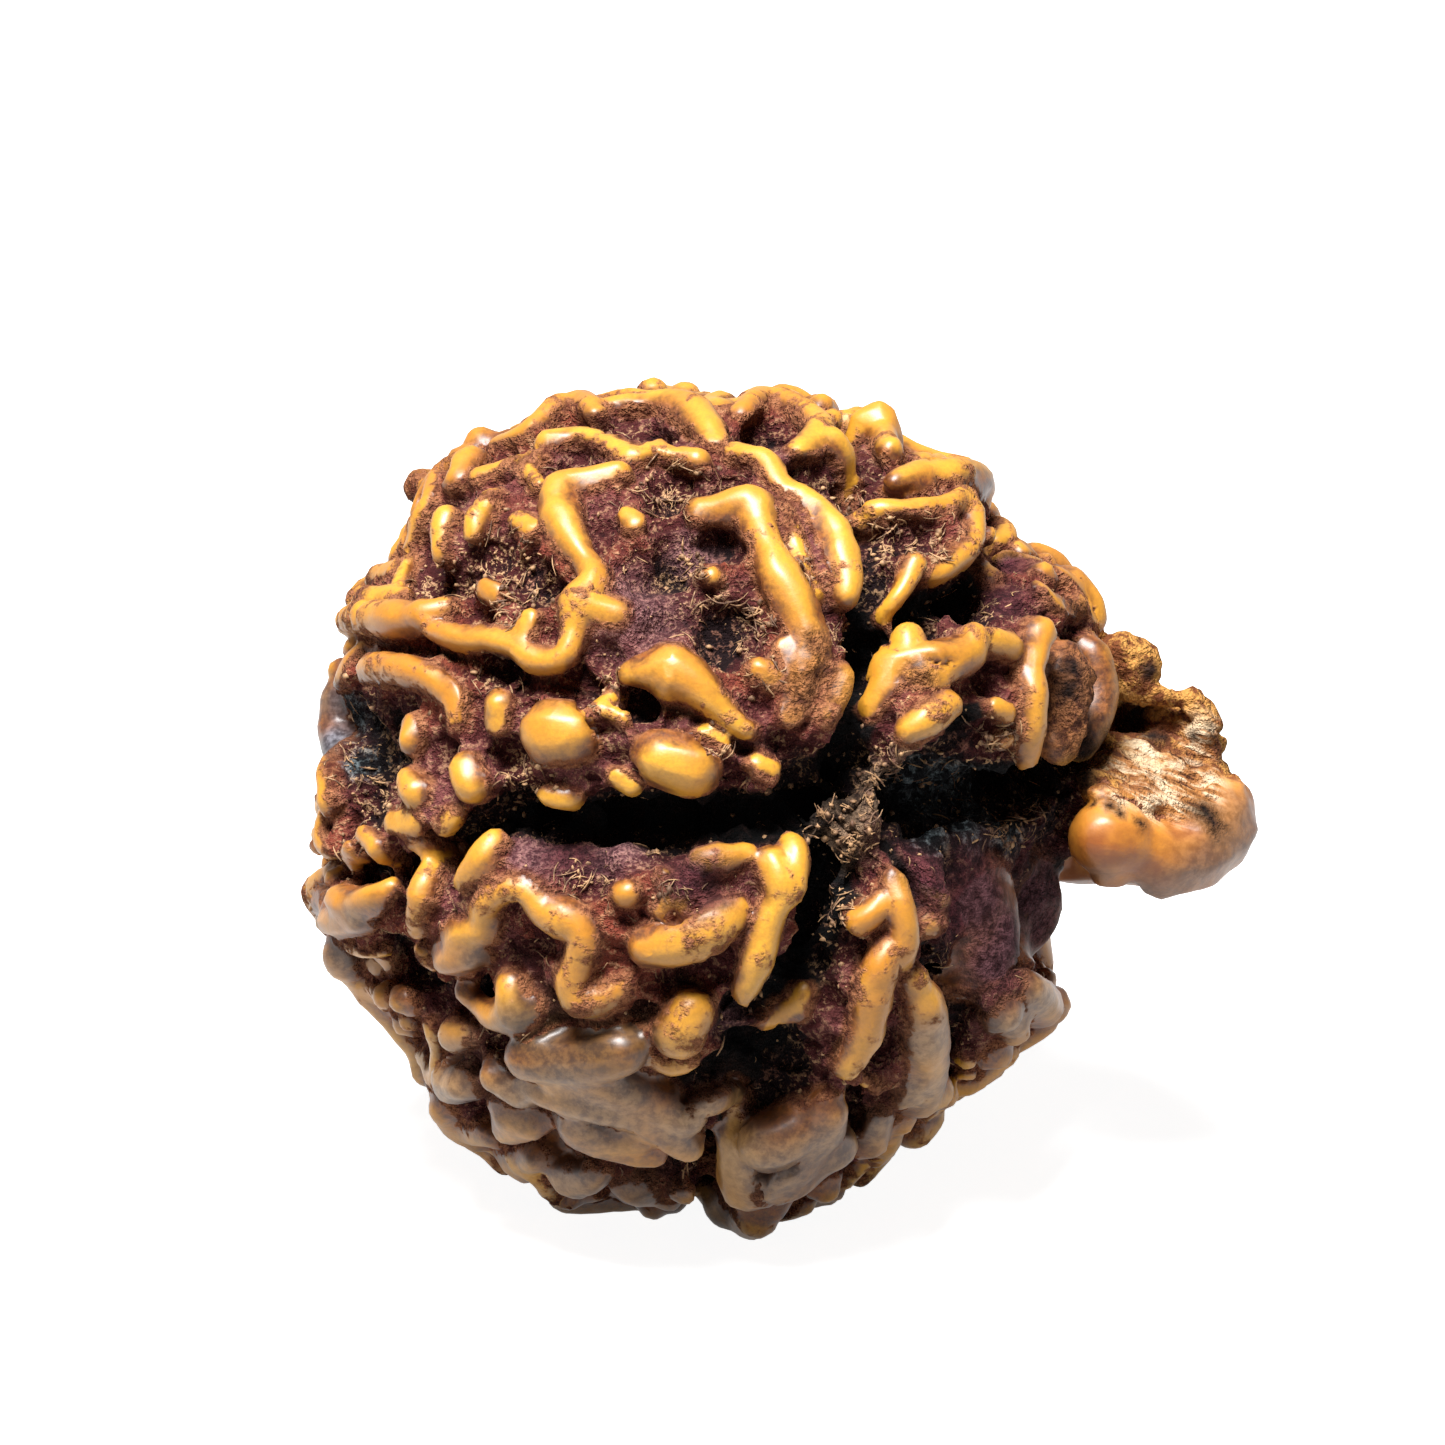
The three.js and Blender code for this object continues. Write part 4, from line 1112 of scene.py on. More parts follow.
def picture_cord(guides):
    """A cord through [x, y, how far it stands forward, radius] guides in picture pixels."""
    spots = [(*picture_spot(x, y, forward), radius * MM_PER_PX) for x, y, forward, radius in guides]
    return cord_through(spots)


def shelf_strands():
    """The strands of the torn shelf, from its top line down to its foot."""
    top = np.array(SHELF_TOP)
    foot = np.array(SHELF_FOOT)
    strands = []
    for share in np.linspace(0, 1, SHELF_STRANDS):
        radii = [[STRAND_HALF + STRAND_HALF_SPREAD * draw()] for _ in top]
        strands.append(picture_cord(np.hstack((top + (foot - top) * share, radii))))
    return strands


def is_covered(direction):
    """True where the trunk covers the body."""
    out = direction * bare_body_radius(direction[None])[0] - TRUNK_CENTRE
    return np.linalg.norm(out) < bare_trunk_radius(unit(out)[None])[0] + TRUNK_CLEARANCE


def is_hidden(direction):
    """True where the eye doesn't see the body, away from the trunk."""
    return direction @ TO_EYE < SEEN_LIMIT and not is_covered(direction)


def is_hidden_or_edge(direction):
    """True on the hidden side and round the face's edge, away from the trunk and the smooth places."""
    if direction @ TO_EYE > FILL_LIMIT or is_covered(direction):
        return False
    return all(np.linalg.norm(direction - middle) > reach for middle, reach in bare_places)


def is_left_out(ridge):
    """True for ridges that are lobes in the skin, or would stand out from an edge seen bare."""
    if any(ridge is low for low in underside):
        return True
    across, down = picture_places(ridge[:, :3])
    return any(np.hypot(across - x, down - y).min() < reach for x, y, reach in BARE_EDGES)


body.seams = [(seam["depth"], seam_round_back(seam["line"])) for seam in SEAMS]
body.pits = [(pit["depth"], bare_line(pit["line"])) for pit in PITS]
body.wide_seams = [(depth * SEAM_DEEPENING, widened(line, SEAM_WIDENING)) for depth, line in body.seams]
body.wide_pits = [(pit["depth"], bare_line(pit["line"])) for pit in SKIN_PITS]
body.swellings = [(swelling["height"], bare_line(swelling["line"])) for swelling in SWELLINGS]
body.add_seen_ridges(
    CROWN_RIDGES, BROW_RIDGES, RIGHT_RIDGES, BAND_RIDGES, LOWER_LEFT_RIDGES, STRAND_RIDGES, UNDERSIDE_RIDGES
)
underside = body.fine_ridges[-len(UNDERSIDE_RIDGES):]
body.add_ruled_ridges(
    draw, is_hidden, FEWEST_STATIONS, (HIDDEN_HALF, HIDDEN_HALF_SPREAD), WALK_STEP, WALK_GAP, MOST_STATIONS
)
body.add_fine_ridges(FINE_RIDGES)
body.add_ruled_ridges(
    draw, is_hidden_or_edge, FILL_FEWEST, (FILL_HALF, FILL_HALF_SPREAD), FILL_STEP, FILL_GAP, FILL_STATIONS
)
body.fine_ridges = [ridge for ridge in body.fine_ridges if not is_left_out(ridge)]
stations = np.concatenate(body.fine_ridges + underside)
lobes = [body.line(body.guides(pixels), body.ground_radius, FINE_STEP) for pixels in LOBES]
lobes += [widened(ridge, UNDERSIDE_SPREAD) for ridge in underside]
edge_lumps = [sunk_cord(pixels, EDGE_SUNK) for pixels in EDGE_LUMPS]
edge_lumps += [sunk_cord(lump["line"], lump["depth"]) for lump in BROAD_LUMPS]
plug = [sunk_cord(pixels, PLUG_SUNK) for pixels in SCAR_PLUG]
trunk_cords = [picture_cord(pixels) for pixels in TRUNK_BEAN + KNOB_AND_ROLL + TRUNK_CORE] + shelf_strands()
centre_height = body.ground_radius(np.array([[0.0, 0.0, -1.0]]))[0] - WORN_AWAY


# The skin


def select_only(*pieces):
    bpy.ops.object.select_all(action="DESELECT")
    for piece in pieces:
        piece.select_set(True)
    bpy.context.view_layer.objects.active = pieces[0]


def apply_modifier(piece, kind, **settings):
    select_only(piece)
    modifier = piece.modifiers.new(kind.title(), kind)
    for name, value in settings.items():
        setattr(modifier, name, value)
    bpy.ops.object.modifier_apply(modifier=modifier.name)


def vertex_values(piece, name):
    values = np.empty(len(piece.data.vertices) * 3)
    piece.data.vertices.foreach_get(name, values)
    return values.reshape(-1, 3)


def vertex_places(piece):
    return vertex_values(piece, "co")


def vertex_normals(piece):
    return vertex_values(piece, "normal")


def set_vertex_places(piece, places):
    piece.data.vertices.foreach_set("co", places.ravel())
    piece.data.update()


def attribute_values(piece, name):
    values = np.empty(len(piece.data.vertices), dtype=np.float32)
    piece.data.attributes[name].data.foreach_get("value", values)
    return values


def keep(piece, name, values):
    """Keeps a value for each point of a piece, for its material to read."""
    attribute = piece.data.attributes.new(name, "FLOAT", "POINT")
    attribute.data.foreach_set("value", values.astype(np.float32))


def with_round_ends(run):
    """A run of stations (x, y, z, radius) with a dome added at each end."""
    places, radii = run[:, :3], run[:, 3]
    if len(run) == 1:
        last = unit(np.cross(places[0], UP))
        first = -last
    else:
        first = unit(places[0] - places[1])
        last = unit(places[-1] - places[-2])
    head = [(*(places[0] + first * radii[0] * out), radii[0] * size) for out, size in DOME]
    tail = [(*(places[-1] + last * radii[-1] * out), radii[-1] * size) for out, size in reversed(DOME)]
    return np.array(head + [tuple(station) for station in run] + tail)


def add_cords(name, runs, fineness):
    """Round cords along runs of stations, as one mesh."""
    curve = bpy.data.curves.new(name, "CURVE")
    curve.dimensions = "3D"
    curve.bevel_depth = 1
    curve.bevel_resolution = fineness
    curve.use_fill_caps = True
    for run in runs:
        spline = curve.splines.new("POLY")
        spline.points.add(len(run) - 1)
        spline.points.foreach_set("co", np.column_stack((run[:, :3], np.ones(len(run)))).ravel())
        spline.points.foreach_set("radius", run[:, 3])
    cords = bpy.data.objects.new(name, curve)
    bpy.context.collection.objects.link(cords)
    select_only(cords)
    bpy.ops.object.convert(target="MESH")
    return cords


def lumpy(run):
    """A ridge's widths vary along its length, in long swells and short lumps."""
    widths = []
    for x, y, z, half in run:
        place = Vector((x, y, z))
        swell = RIDGE_SWELLS * noise.noise(place * RIDGE_SWELL_RATE)
        lump = RIDGE_LUMPS * noise.noise(place * RIDGE_LUMP_RATE)
        widths.append(half * (RIDGE_WIDENING + (swell + lump)))
    return np.column_stack((run[:, :3], widths))


def lifted(line, lift, half):
    """A line moved outwards, with new half widths."""
    return np.column_stack((line[:, :3] + unit(line[:, :3]) * lift[:, None], half))


def crest_line(ridge):
    """The middle line of a ridge's rounded back."""
    half = ridge[:, 3]
    return lifted(ridge, SKIN_CREST * crest_height(half) - half, half)


def root_line(ridge):
    """The middle line of a ridge's root in the ground."""
    half = ridge[:, 3]
    return lifted(ridge, -ROOT_DEPTH * half, half * ROOT_SIZE)


def lobe_line(lobe):
    """A lobe is a broad cord, sunk until only its low back is out."""
    half = lobe[:, 3]
    return lifted(lobe, LOBE_HEIGHT * np.minimum(half / FULL_LOBE_HALF, 1) - half, half)


def body_runs():
    """Cords of the body: the ridges and their roots, the lobes, the edge's lumps and the scar's plug."""
    runs = []
    for ridge in body.fine_ridges:
        runs.append(with_round_ends(crest_line(lumpy(ridge))))
        runs.append(with_round_ends(root_line(lumpy(ridge))))
    runs += [with_round_ends(lobe_line(lobe)) for lobe in lobes]
    runs += [with_round_ends(lump) for lump in edge_lumps + plug]
    return runs


def trunk_runs():
    return [with_round_ends(cord) for cord in trunk_cords]


def crest_lines():
    """Stations of all that stands out from the body's ground."""
    ridges = [crest_line(ridge) for ridge in body.fine_ridges]
    return np.concatenate(ridges + [lobe_line(lobe) for lobe in lobes] + edge_lumps)


def nearest_ridge(places, lines):
    """For each place: how far it is outside the nearest ridge's cord, and that ridge's half width."""
    tree = kdtree.KDTree(len(lines))
    for i, station in enumerate(lines):
        tree.insert(station[:3], i)
    tree.balance()
    halves = lines[:, 3]
    off = np.empty(len(places))
    half = np.empty(len(places))
    for i, place in enumerate(places):
        near = tree.find_n(place, STATIONS_TRIED)
        off[i], half[i] = min((distance - halves[index], halves[index]) for _, index, distance in near)
    return off, half


def skin_ground_radius(directions):
    """The ground between the ridges, with its valleys and wide seams."""
    solid = body.ground_radius(directions)
    off, half = nearest_ridge(directions * solid[:, None], stations)
    wide = np.maximum(body.skin_sunk(directions) - body.sunk(directions), 0)
    skirt = SKIRT_HEIGHT * (1 - smooth_step(off, 0, SKIRT_END))
    return solid + skirt - (VALLEY_DEPTH + wide) * smooth_step(off, VALLEY_START, VALLEY_END)


def add_ground():
    """The seamed body, with its valleys."""
    bpy.ops.mesh.primitive_ico_sphere_add(subdivisions=SPHERE_SUBDIVISIONS, radius=1)
    ground = bpy.context.object
    directions = unit(vertex_places(ground))
    set_vertex_places(ground, directions * skin_ground_radius(directions)[:, None])
    return ground


def first_seen(places, seen_at, px, py):
    """The index of the place that the eye meets first at a picture pixel."""
    off = np.hypot(seen_at[0] - px, seen_at[1] - py)
    close = np.flatnonzero(off < max(SAME_SPOT_PX, off.min() + 1))
    return close[(places[close] @ TO_EYE).argmax()]


def patch_share(places, patches):
    """1 in the middle of some picture patches on the skin, 0 away from them."""
    seen_at = picture_places(places)
    amount = np.zeros(len(places))
    for px, py, reach in patches:
        middle = places[first_seen(places, seen_at, px, py)]
        off = np.linalg.norm(places - middle, axis=1) / (reach * MM_PER_PX)
        amount = np.maximum(amount, np.clip(PATCH_END - off, 0, 1))
    return amount


def trunk_share(places):
    """1 on the trunk, 0 on the body."""
    share = np.zeros(len(places))
    near = np.flatnonzero(np.linalg.norm(places - TRUNK_CENTRE, axis=1) < TRUNK_REACH)
    off = np.full(len(near), np.inf)
    for run in trunk_runs():
        off = np.minimum(off, shares_off(segments_of(run), places[near]).min(axis=0))
    share[near] = 1 - smooth_step(off, TRUNK_EDGE, TRUNK_END)
    return share


def husk_share(places, bean):
    """1 on the trunk's husk, which is all that lies above its smooth bean."""
    down = picture_places(places)[1]
    return smooth_step(HUSK_FOOT - down, 0, HUSK_FADE) * (1 - np.clip(bean * BEAN_HOLD, 0, 1))


def measure(skin):
    """What the skin's points are: how far off the ridges, how high, how deep in a seam, and on what patch."""
    places = vertex_places(skin)
    radii = np.linalg.norm(places, axis=1)
    directions = places / radii[:, None]
    off, half = nearest_ridge(places, crest_lines())
    height = radii - body.ground_radius(directions)
    on_trunk = attribute_values(skin, "trunk")
    found = {
        "off": off * (1 - on_trunk),
        "rise": np.clip(height / (SKIN_CREST * crest_height(half)), 0, 1) * (1 - on_trunk) + on_trunk,
        "height": height,
        "sunk": body.skin_sunk(directions) * (1 - on_trunk),
    }
    for name, patches in SOFT_PATCHES.items():
        found[name] = patch_share(places, patches)
    found["husk"] = on_trunk * husk_share(places, found["bean"])
    found["dusty"] = patch_share(places, [tuft[:3] for tuft in TUFTS])
    return found


def soften(skin):
    """Melts the creases between the broad lobes low down and on the smooth bean of the trunk."""
    weights = patch_share(vertex_places(skin), SOFT_PATCHES["lobe_shade"] + SOFT_PATCHES["bean"])
    group = skin.vertex_groups.new(name="soft")
    for i in np.flatnonzero(weights > FAINTEST_SOFTNESS):
        group.add([int(i)], min(1.0, float(weights[i])), "REPLACE")
    apply_modifier(skin, "SMOOTH", factor=MELT, iterations=SOFT_ROUNDS, vertex_group="soft")


def ground_lump(place):
    """How far the rough ground stands out, in lumps and crumbs."""
    lump = noise.turbulence(place * LUMP_RATE, LUMP_LAYERS, False) - LUMP_MIDDLE
    return lump * LUMPS + noise.noise(place * CRUMB_RATE) * CRUMBS


def husk_lump(place):
    """How far the husk stands out."""
    return HUSK_LUMPS * noise.noise(place * HUSK_LUMP_RATE) + CRUMBS * noise.noise(place * HUSK_CRUMB_RATE)


def torn_strand(place, grain):
    """How far the torn shelf stands out, in strands along its grain."""
    across = place - grain * (place.dot(grain) * TORN_STRETCH)
    return TORN_GRAIN * noise.noise(across * TORN_RATE)


def roughen(skin):
    """Works lumps and crumbs into the ground, and torn grain into the trunk."""
    places = vertex_places(skin)
    off, half = nearest_ridge(places, crest_lines())
    smooth = patch_share(places, SOFT_PATCHES["velvet"] + SOFT_PATCHES["plum"] + SOFT_PATCHES["olive"])
    on_trunk = trunk_share(places)
    keep(skin, "trunk", on_trunk)
    rough = smooth_step(off, ROUGH_START, ROUGH_END) * (1 - PATCH_SMOOTHNESS * np.clip(smooth, 0, 1))
    rough = np.maximum(rough, BROWN_ROUGHNESS * patch_share(places, SOFT_PATCHES["brown"])) * (1 - on_trunk)
    torn = np.clip(patch_share(places, SOFT_PATCHES["torn"]), 0, 1) * on_trunk
    husk = on_trunk * husk_share(places, patch_share(places, SOFT_PATCHES["bean"]))
    grain = Vector(TORN_GRAIN_LINE)
    out = np.empty(len(places))
    for i, place in enumerate(Vector(place) for place in places):
        out[i] = RIDGE_GRAIN * noise.noise(place * RIDGE_GRAIN_RATE)
        if rough[i] > 0:
            out[i] += rough[i] * ground_lump(place)
        if husk[i] > 0:
            out[i] += husk[i] * husk_lump(place)
        if torn[i] > 0:
            out[i] += torn[i] * torn_strand(place, grain)
    set_vertex_places(skin, places + vertex_normals(skin) * out[:, None])


def add_skin():
    """One closed skin, remeshed from the seamed body and the cords of its ridges, lobes and trunk."""
    ground = add_ground()
    cords = add_cords("ridges", body_runs() + trunk_runs(), RIDGE_FINENESS)
    select_only(ground, cords)
    bpy.ops.object.join()
    skin = bpy.context.object
    skin.name = skin.data.name = "stone_skin"
    apply_modifier(skin, "REMESH", mode="VOXEL", voxel_size=VOXEL)
    apply_modifier(skin, "SMOOTH", factor=MELT, iterations=MELT_ROUNDS)
    soften(skin)
    roughen(skin)
    skin.data.calc_loop_triangles()
    triangles = len(skin.data.loop_triangles)
    if triangles > MOST_TRIANGLES:
        apply_modifier(skin, "DECIMATE", ratio=MOST_TRIANGLES / triangles)
    for name, values in measure(skin).items():
        keep(skin, name, values)
    return skin


# Loose fibres and crumbs


def loose_spots(skin, loose):
    """Where loose stuff lies: (place, outward direction), in the tufts and all over the rough ground."""
    places = vertex_places(skin)
    normals = vertex_normals(skin)
    off = attribute_values(skin, "off")
    off_trunk = attribute_values(skin, "trunk") < OFF_TRUNK
    ground = np.flatnonzero((off > TUFT_OFF) & off_trunk)
    seen_at = np.array(picture_places(places[ground]))
    chosen = []
    for px, py, reach, count in TUFTS:
        for _ in range(count):
            turn = 2 * math.pi * draw()
            out = reach * math.sqrt(draw())
            px_out, py_out = px + out * math.cos(turn), py + out * math.sin(turn)
            chosen.append(ground[first_seen(places[ground], seen_at, px_out, py_out)])
    rough = np.flatnonzero((off > LOOSE_OFF) & off_trunk)
    rough = rough[places[rough, 2] > FLAT_CLEARANCE - centre_height]
    for _ in range(loose):
        chosen.append(rough[int(draw() * len(rough))])
    return [(places[i], normals[i]) for i in chosen]


def fibre(place, out):
    """A thin strand that arches over the ground."""
    side = unit(np.cross(out, (draw() - 0.5, draw() - 0.5, draw() - 0.5)))
    across = np.cross(out, side)
    length = FIBRE_LENGTH + FIBRE_LENGTH_SPREAD * draw() ** 2
    arch = length * (FIBRE_ARCH + FIBRE_ARCH_SPREAD * draw())
    sway = length * (draw() - 0.5) * FIBRE_SWAY
    half = FIBRE_HALF + FIBRE_HALF_SPREAD * draw()
    run = []
    for share in np.linspace(0, 1, FIBRE_STATIONS):
        bow = math.sin(math.pi * share)
        spot = place + side * (share - 0.5) * length + out * (arch * bow - FIBRE_SUNK) + across * sway * bow
        run.append((*spot, half * (FIBRE_TIP + (1 - FIBRE_TIP) * bow)))
    return np.array(run)


def add_fibres(skin):
    runs = [fibre(place, out) for place, out in loose_spots(skin, LOOSE_FIBRES)]
    return add_cords("loose_fibres", runs, 0)


def add_crumbs(skin):
    """Small torn bits of pulp, each a jagged lump."""
    bpy.ops.mesh.primitive_ico_sphere_add(subdivisions=1, radius=1)
    lump = bpy.context.object
    corners = vertex_places(lump)
    faces = np.array([tuple(face.vertices) for face in lump.data.polygons])
    bpy.data.objects.remove(lump)
    points = []
    triangles = []
    for place, out in loose_spots(skin, LOOSE_CRUMBS):
        half = CRUMB_HALF + CRUMB_HALF_SPREAD * draw() ** 2
        stretch = np.array([CRUMB_STRETCH + draw() for _ in range(3)])
        ragged = np.array([CRUMB_CORNER + CRUMB_CORNER_SPREAD * draw() for _ in corners])
        triangles.append(faces + len(points) * len(corners))
        points.append(place + corners * stretch * ragged[:, None] * half)
    mesh = bpy.data.meshes.new("crumbs")
    mesh.from_pydata(np.concatenate(points).tolist(), [], np.concatenate(triangles).tolist())
    crumbs = bpy.data.objects.new("pulp_crumbs", mesh)
    bpy.context.collection.objects.link(crumbs)
    return crumbs


# Materials


def mottle_group():
    """A grain over the surface and the share that its high spots have, for the stone and the loose fibres."""
    group = bpy.data.node_groups.new("mottle", "ShaderNodeTree")
    group.interface.new_socket(name="Place", in_out="INPUT", socket_type="NodeSocketVector")
    for name in ("Scale", "Detail", "Roughness", "Low", "High"):
        group.interface.new_socket(name=name, in_out="INPUT", socket_type="NodeSocketFloat")
    for name in ("Grain", "Share"):
        group.interface.new_socket(name=name, in_out="OUTPUT", socket_type="NodeSocketFloat")
    given = group.nodes.new("NodeGroupInput").outputs
    put_out = group.nodes.new("NodeGroupOutput").inputs
    grain = group.nodes.new("ShaderNodeTexNoise")
    share = group.nodes.new("ShaderNodeMapRange")
    share.interpolation_type = "SMOOTHSTEP"
    group.links.new(given["Place"], grain.inputs["Vector"])
    for name in ("Scale", "Detail", "Roughness"):
        group.links.new(given[name], grain.inputs[name])
    for name, socket in (("Low", "From Min"), ("High", "From Max")):
        group.links.new(given[name], share.inputs[socket])
    group.links.new(grain.outputs["Fac"], share.inputs["Value"])
    group.links.new(grain.outputs["Fac"], put_out["Grain"])
    group.links.new(share.outputs["Result"], put_out["Share"])
    return group


def colour(red, green, blue):
    """A colour given as it looks on a screen, 0 to 255, through the screen's own curve."""
    return tuple(((value / 255 + 0.055) / 1.055) ** 2.4 for value in (red, green, blue)) + (1.0,)


class Paint:
    """A material's node tree, with short ways to add and join nodes."""

    def __init__(self, name):
        self.material = bpy.data.materials.new(name)
        self.material.use_nodes = True
        self.tree = self.material.node_tree
        self.shader = self.tree.nodes["Principled BSDF"]
        self.place = self.node("ShaderNodeTexCoord").outputs["Object"]

    def node(self, kind, settings=(), **inputs):
        node = self.tree.nodes.new(kind)
        for name, value in dict(settings).items():
            setattr(node, name, value)
        for name, value in inputs.items():
            self.feed(node.inputs[name.replace("_", " ")], value)
        return node

    def feed(self, socket, value):
        if isinstance(value, bpy.types.NodeSocket):
            self.tree.links.new(value, socket)
        else:
            socket.default_value = value

    def finish(self, name, value):
        """Sets or feeds one of the shader's own sockets."""
        self.feed(self.shader.inputs[name], value)

    def attribute(self, name):
        return self.node("ShaderNodeAttribute", {"attribute_name": name}).outputs["Fac"]

    def grain(self, name, place):
        """One of the named grains."""
        scale, detail, roughness = GRAINS[name]
        node = self.node("ShaderNodeTexNoise", Vector=place, Scale=scale, Detail=detail, Roughness=roughness)
        return node.outputs["Fac"]

    def mottle(self, name):
        """One of the named grains, and the share that its high spots have."""
        scale, detail, roughness = GRAINS[name]
        low, high = BANDS[name]
        node = self.node(
            "ShaderNodeGroup", {"node_tree": mottle_nodes},
            Place=self.place, Scale=scale, Detail=detail, Roughness=roughness, Low=low, High=high,
        )
        return node.outputs["Grain"], node.outputs["Share"]

    def band(self, name, value):
        """0 below a named band of values, 1 above it."""
        low, high = BANDS[name]
        node = self.node(
            "ShaderNodeMapRange", {"interpolation_type": "SMOOTHSTEP"},
            Value=value, From_Min=low, From_Max=high,
        )
        return node.outputs["Result"]

    def worked_out(self, first, operation, second):
        """A sum, difference, product or the like of two values."""
        node = self.node("ShaderNodeMath", {"operation": operation})
        self.feed(node.inputs[0], first)
        self.feed(node.inputs[1], second)
        return node.outputs[0]

    def plus(self, first, second):
        return self.worked_out(first, "ADD", second)

    def times(self, first, second):
        return self.worked_out(first, "MULTIPLY", second)

    def swung(self, name, value, *grains):
        """A value that grains swing up and down, each by its own named reach."""
        for grain, reach in zip(grains, SWINGS[name]):
            swing = self.worked_out(grain, "SUBTRACT", GRAIN_MIDDLE)
            value = self.plus(value, self.times(swing, reach))
        return value

    def mix(self, share, first, second):
        """Colours mixed. The node's sockets for values and vectors come before those for colours."""
        node = self.node("ShaderNodeMix", {"data_type": "RGBA"})
        self.feed(node.inputs[0], share)
        self.feed(node.inputs[6], first)
        self.feed(node.inputs[7], second)
        return node.outputs[2]

    def blend(self, share, first, second):
        """Values mixed."""
        node = self.node("ShaderNodeMix", {"data_type": "FLOAT"})
        self.feed(node.inputs[0], share)
        self.feed(node.inputs[2], first)
        self.feed(node.inputs[3], second)
        return node.outputs[0]

    def tones(self, name, share):
        """A named pair of tones, mixed."""
        dark, light = TONES[name]
        return self.mix(share, colour(*dark), colour(*light))

    def patch(self, name, cover, under, over):
        """A colour laid over another on one of the skin's soft patches, as thickly as the cover says."""
        return self.mix(self.times(self.attribute(name), cover[name]), under, over)


class StonePaint(Paint):
    """The stone's finish: polished ridges over a dusty, fibrous ground, and the trunk's own tones."""

    def __init__(self):
        super().__init__("polished ridges over dusty ground")
        self.coarse = self.grain("coarse", self.place)
        self.middle = self.grain("middle", self.place)
        self.fine, self.speckle = self.mottle("fine")
        self.finest = self.grain("finest", self.place)
        self.strands = self.grain("strands", self.place_along_grain())
        # How high up its ridge a place lies: the ochre back above, painted shade on the flanks below
        self.lit_rise = self.swung("lit_rise", self.attribute("rise"), self.middle, self.fine)
        self.edge = self.swung("edge", self.attribute("off"), self.middle, self.fine)
        self.off_ridge = self.band("ridge foot", self.edge)

    def place_along_grain(self):
        """Places drawn out along the grain of the torn shelf."""
        turned_to_grain = Vector(TORN_GRAIN_LINE).to_track_quat("X", "Z").to_euler()
        mapping = self.node(
            "ShaderNodeMapping", {"vector_type": "TEXTURE"},
            Vector=self.place, Rotation=turned_to_grain, Scale=(TORN_DRAWN_OUT, 1, 1),
        )
        return mapping.outputs["Vector"]

    def speckled(self, name):
        return self.tones(name, self.speckle)

    def lobe_shade(self):
        """Painted shade and floor bounce on the low lobes, grey-brown, with darker painted shade in their
        creases.
        """
        return self.mix(self.band("lobe_shade back", self.lit_rise), colour(*LOBE_CREASE_SHADE), self.speckled("lobe_shade ridge"))

    def lit_ground(self):
        """Ground with painted shade that is darker the deeper it lies, and a painted highlight on its highest
        lumps.
        """
        level = self.swung("level", self.attribute("height"), self.middle, self.fine)
        tone = self.tones("deep ground", self.band("deep", level))
        warm = self.tones("warm ground", self.band("warm", self.coarse))
        tone = self.mix(self.band("low", level), tone, warm)
        return self.mix(self.band("high", level), tone, colour(*PAINTED_HIGHLIGHT_ON_LUMPS))

    def dusted(self, tone):
        """Tan and pink specks, thickest round the tufts."""
        dusty = self.swung("dusty", self.times(self.attribute("dusty"), TUFT_DUST), self.middle)
        speck = self.band("speck", self.swung("speck", self.fine, self.finest))
        amount = self.times(speck, self.blend(self.band("dusty", dusty), *SPECK_COVER))
        return self.mix(amount, tone, self.tones("speck", self.band("speck tone", self.middle)))

    def ground(self):
        """The dark ground between the ridges, with its patches."""
        velvet = self.band("velvet", self.swung("velvet", self.finest, self.fine))
        tone = self.dusted(self.lit_ground())
        tone = self.patch("velvet", GROUND_COVER, tone, self.tones("velvet", velvet))
        tone = self.patch("plum", GROUND_COVER, tone, self.speckled("plum ground"))
        tone = self.patch("olive", GROUND_COVER, tone, self.speckled("olive ground"))
        # The deeper in a seam, the nearer black: partly the seams' own dark tone, partly painted shade
        seam_dark_and_shade = self.tones("seam_dark_and_shade", self.band("seam_dark_and_shade", self.fine))
        tone = self.mix(self.band("sunk", self.attribute("sunk")), tone, seam_dark_and_shade)
        slate = self.tones("slate ground", self.band("slate", self.fine))
        tone = self.patch("slate", GROUND_COVER, tone, slate)
        tone = self.patch("scar", GROUND_COVER, tone, self.speckled("scar"))
        return self.patch("lobe_shade", GROUND_COVER, tone, self.lobe_shade())

    def fringe(self):
        """The red-brown foot of a ridge."""
        tone = self.patch("plum", FRINGE_COVER, self.speckled("fringe"), self.speckled("plum ground"))
        return self.patch("lobe_shade", FRINGE_COVER, tone, colour(*LOBE_SHADE_FRINGE))

    def ridge(self):
        """Ochre on the high back of a ridge and red-brown down its sides as painted shade, with its patches.
        """
        tone = self.tones("ochre", self.band("ochre", self.coarse))
        tone = self.mix(self.band("lit_rise back", self.lit_rise), self.speckled("flank"), tone)
        specks = self.times(self.band("ochre speck", self.finest), OCHRE_SPECKS)
        tone = self.mix(specks, tone, colour(*OCHRE_SPECK))
        tone = self.patch("lobe_shade", RIDGE_COVER, tone, self.lobe_shade())
        for name in ("olive", "plum", "slate", "brown"):
            tone = self.patch(name, RIDGE_COVER, tone, self.speckled(name + " ridge"))
        return tone

    def torn(self):
        """The torn shelf: pale strands with dark creases between them."""
        tone = self.tones("torn", self.band("torn", self.swung("torn", self.strands, self.middle)))
        whole = self.band("torn crease", self.swung("torn crease", self.strands, self.middle))
        return self.mix(whole, colour(*TORN_CREASE), tone)

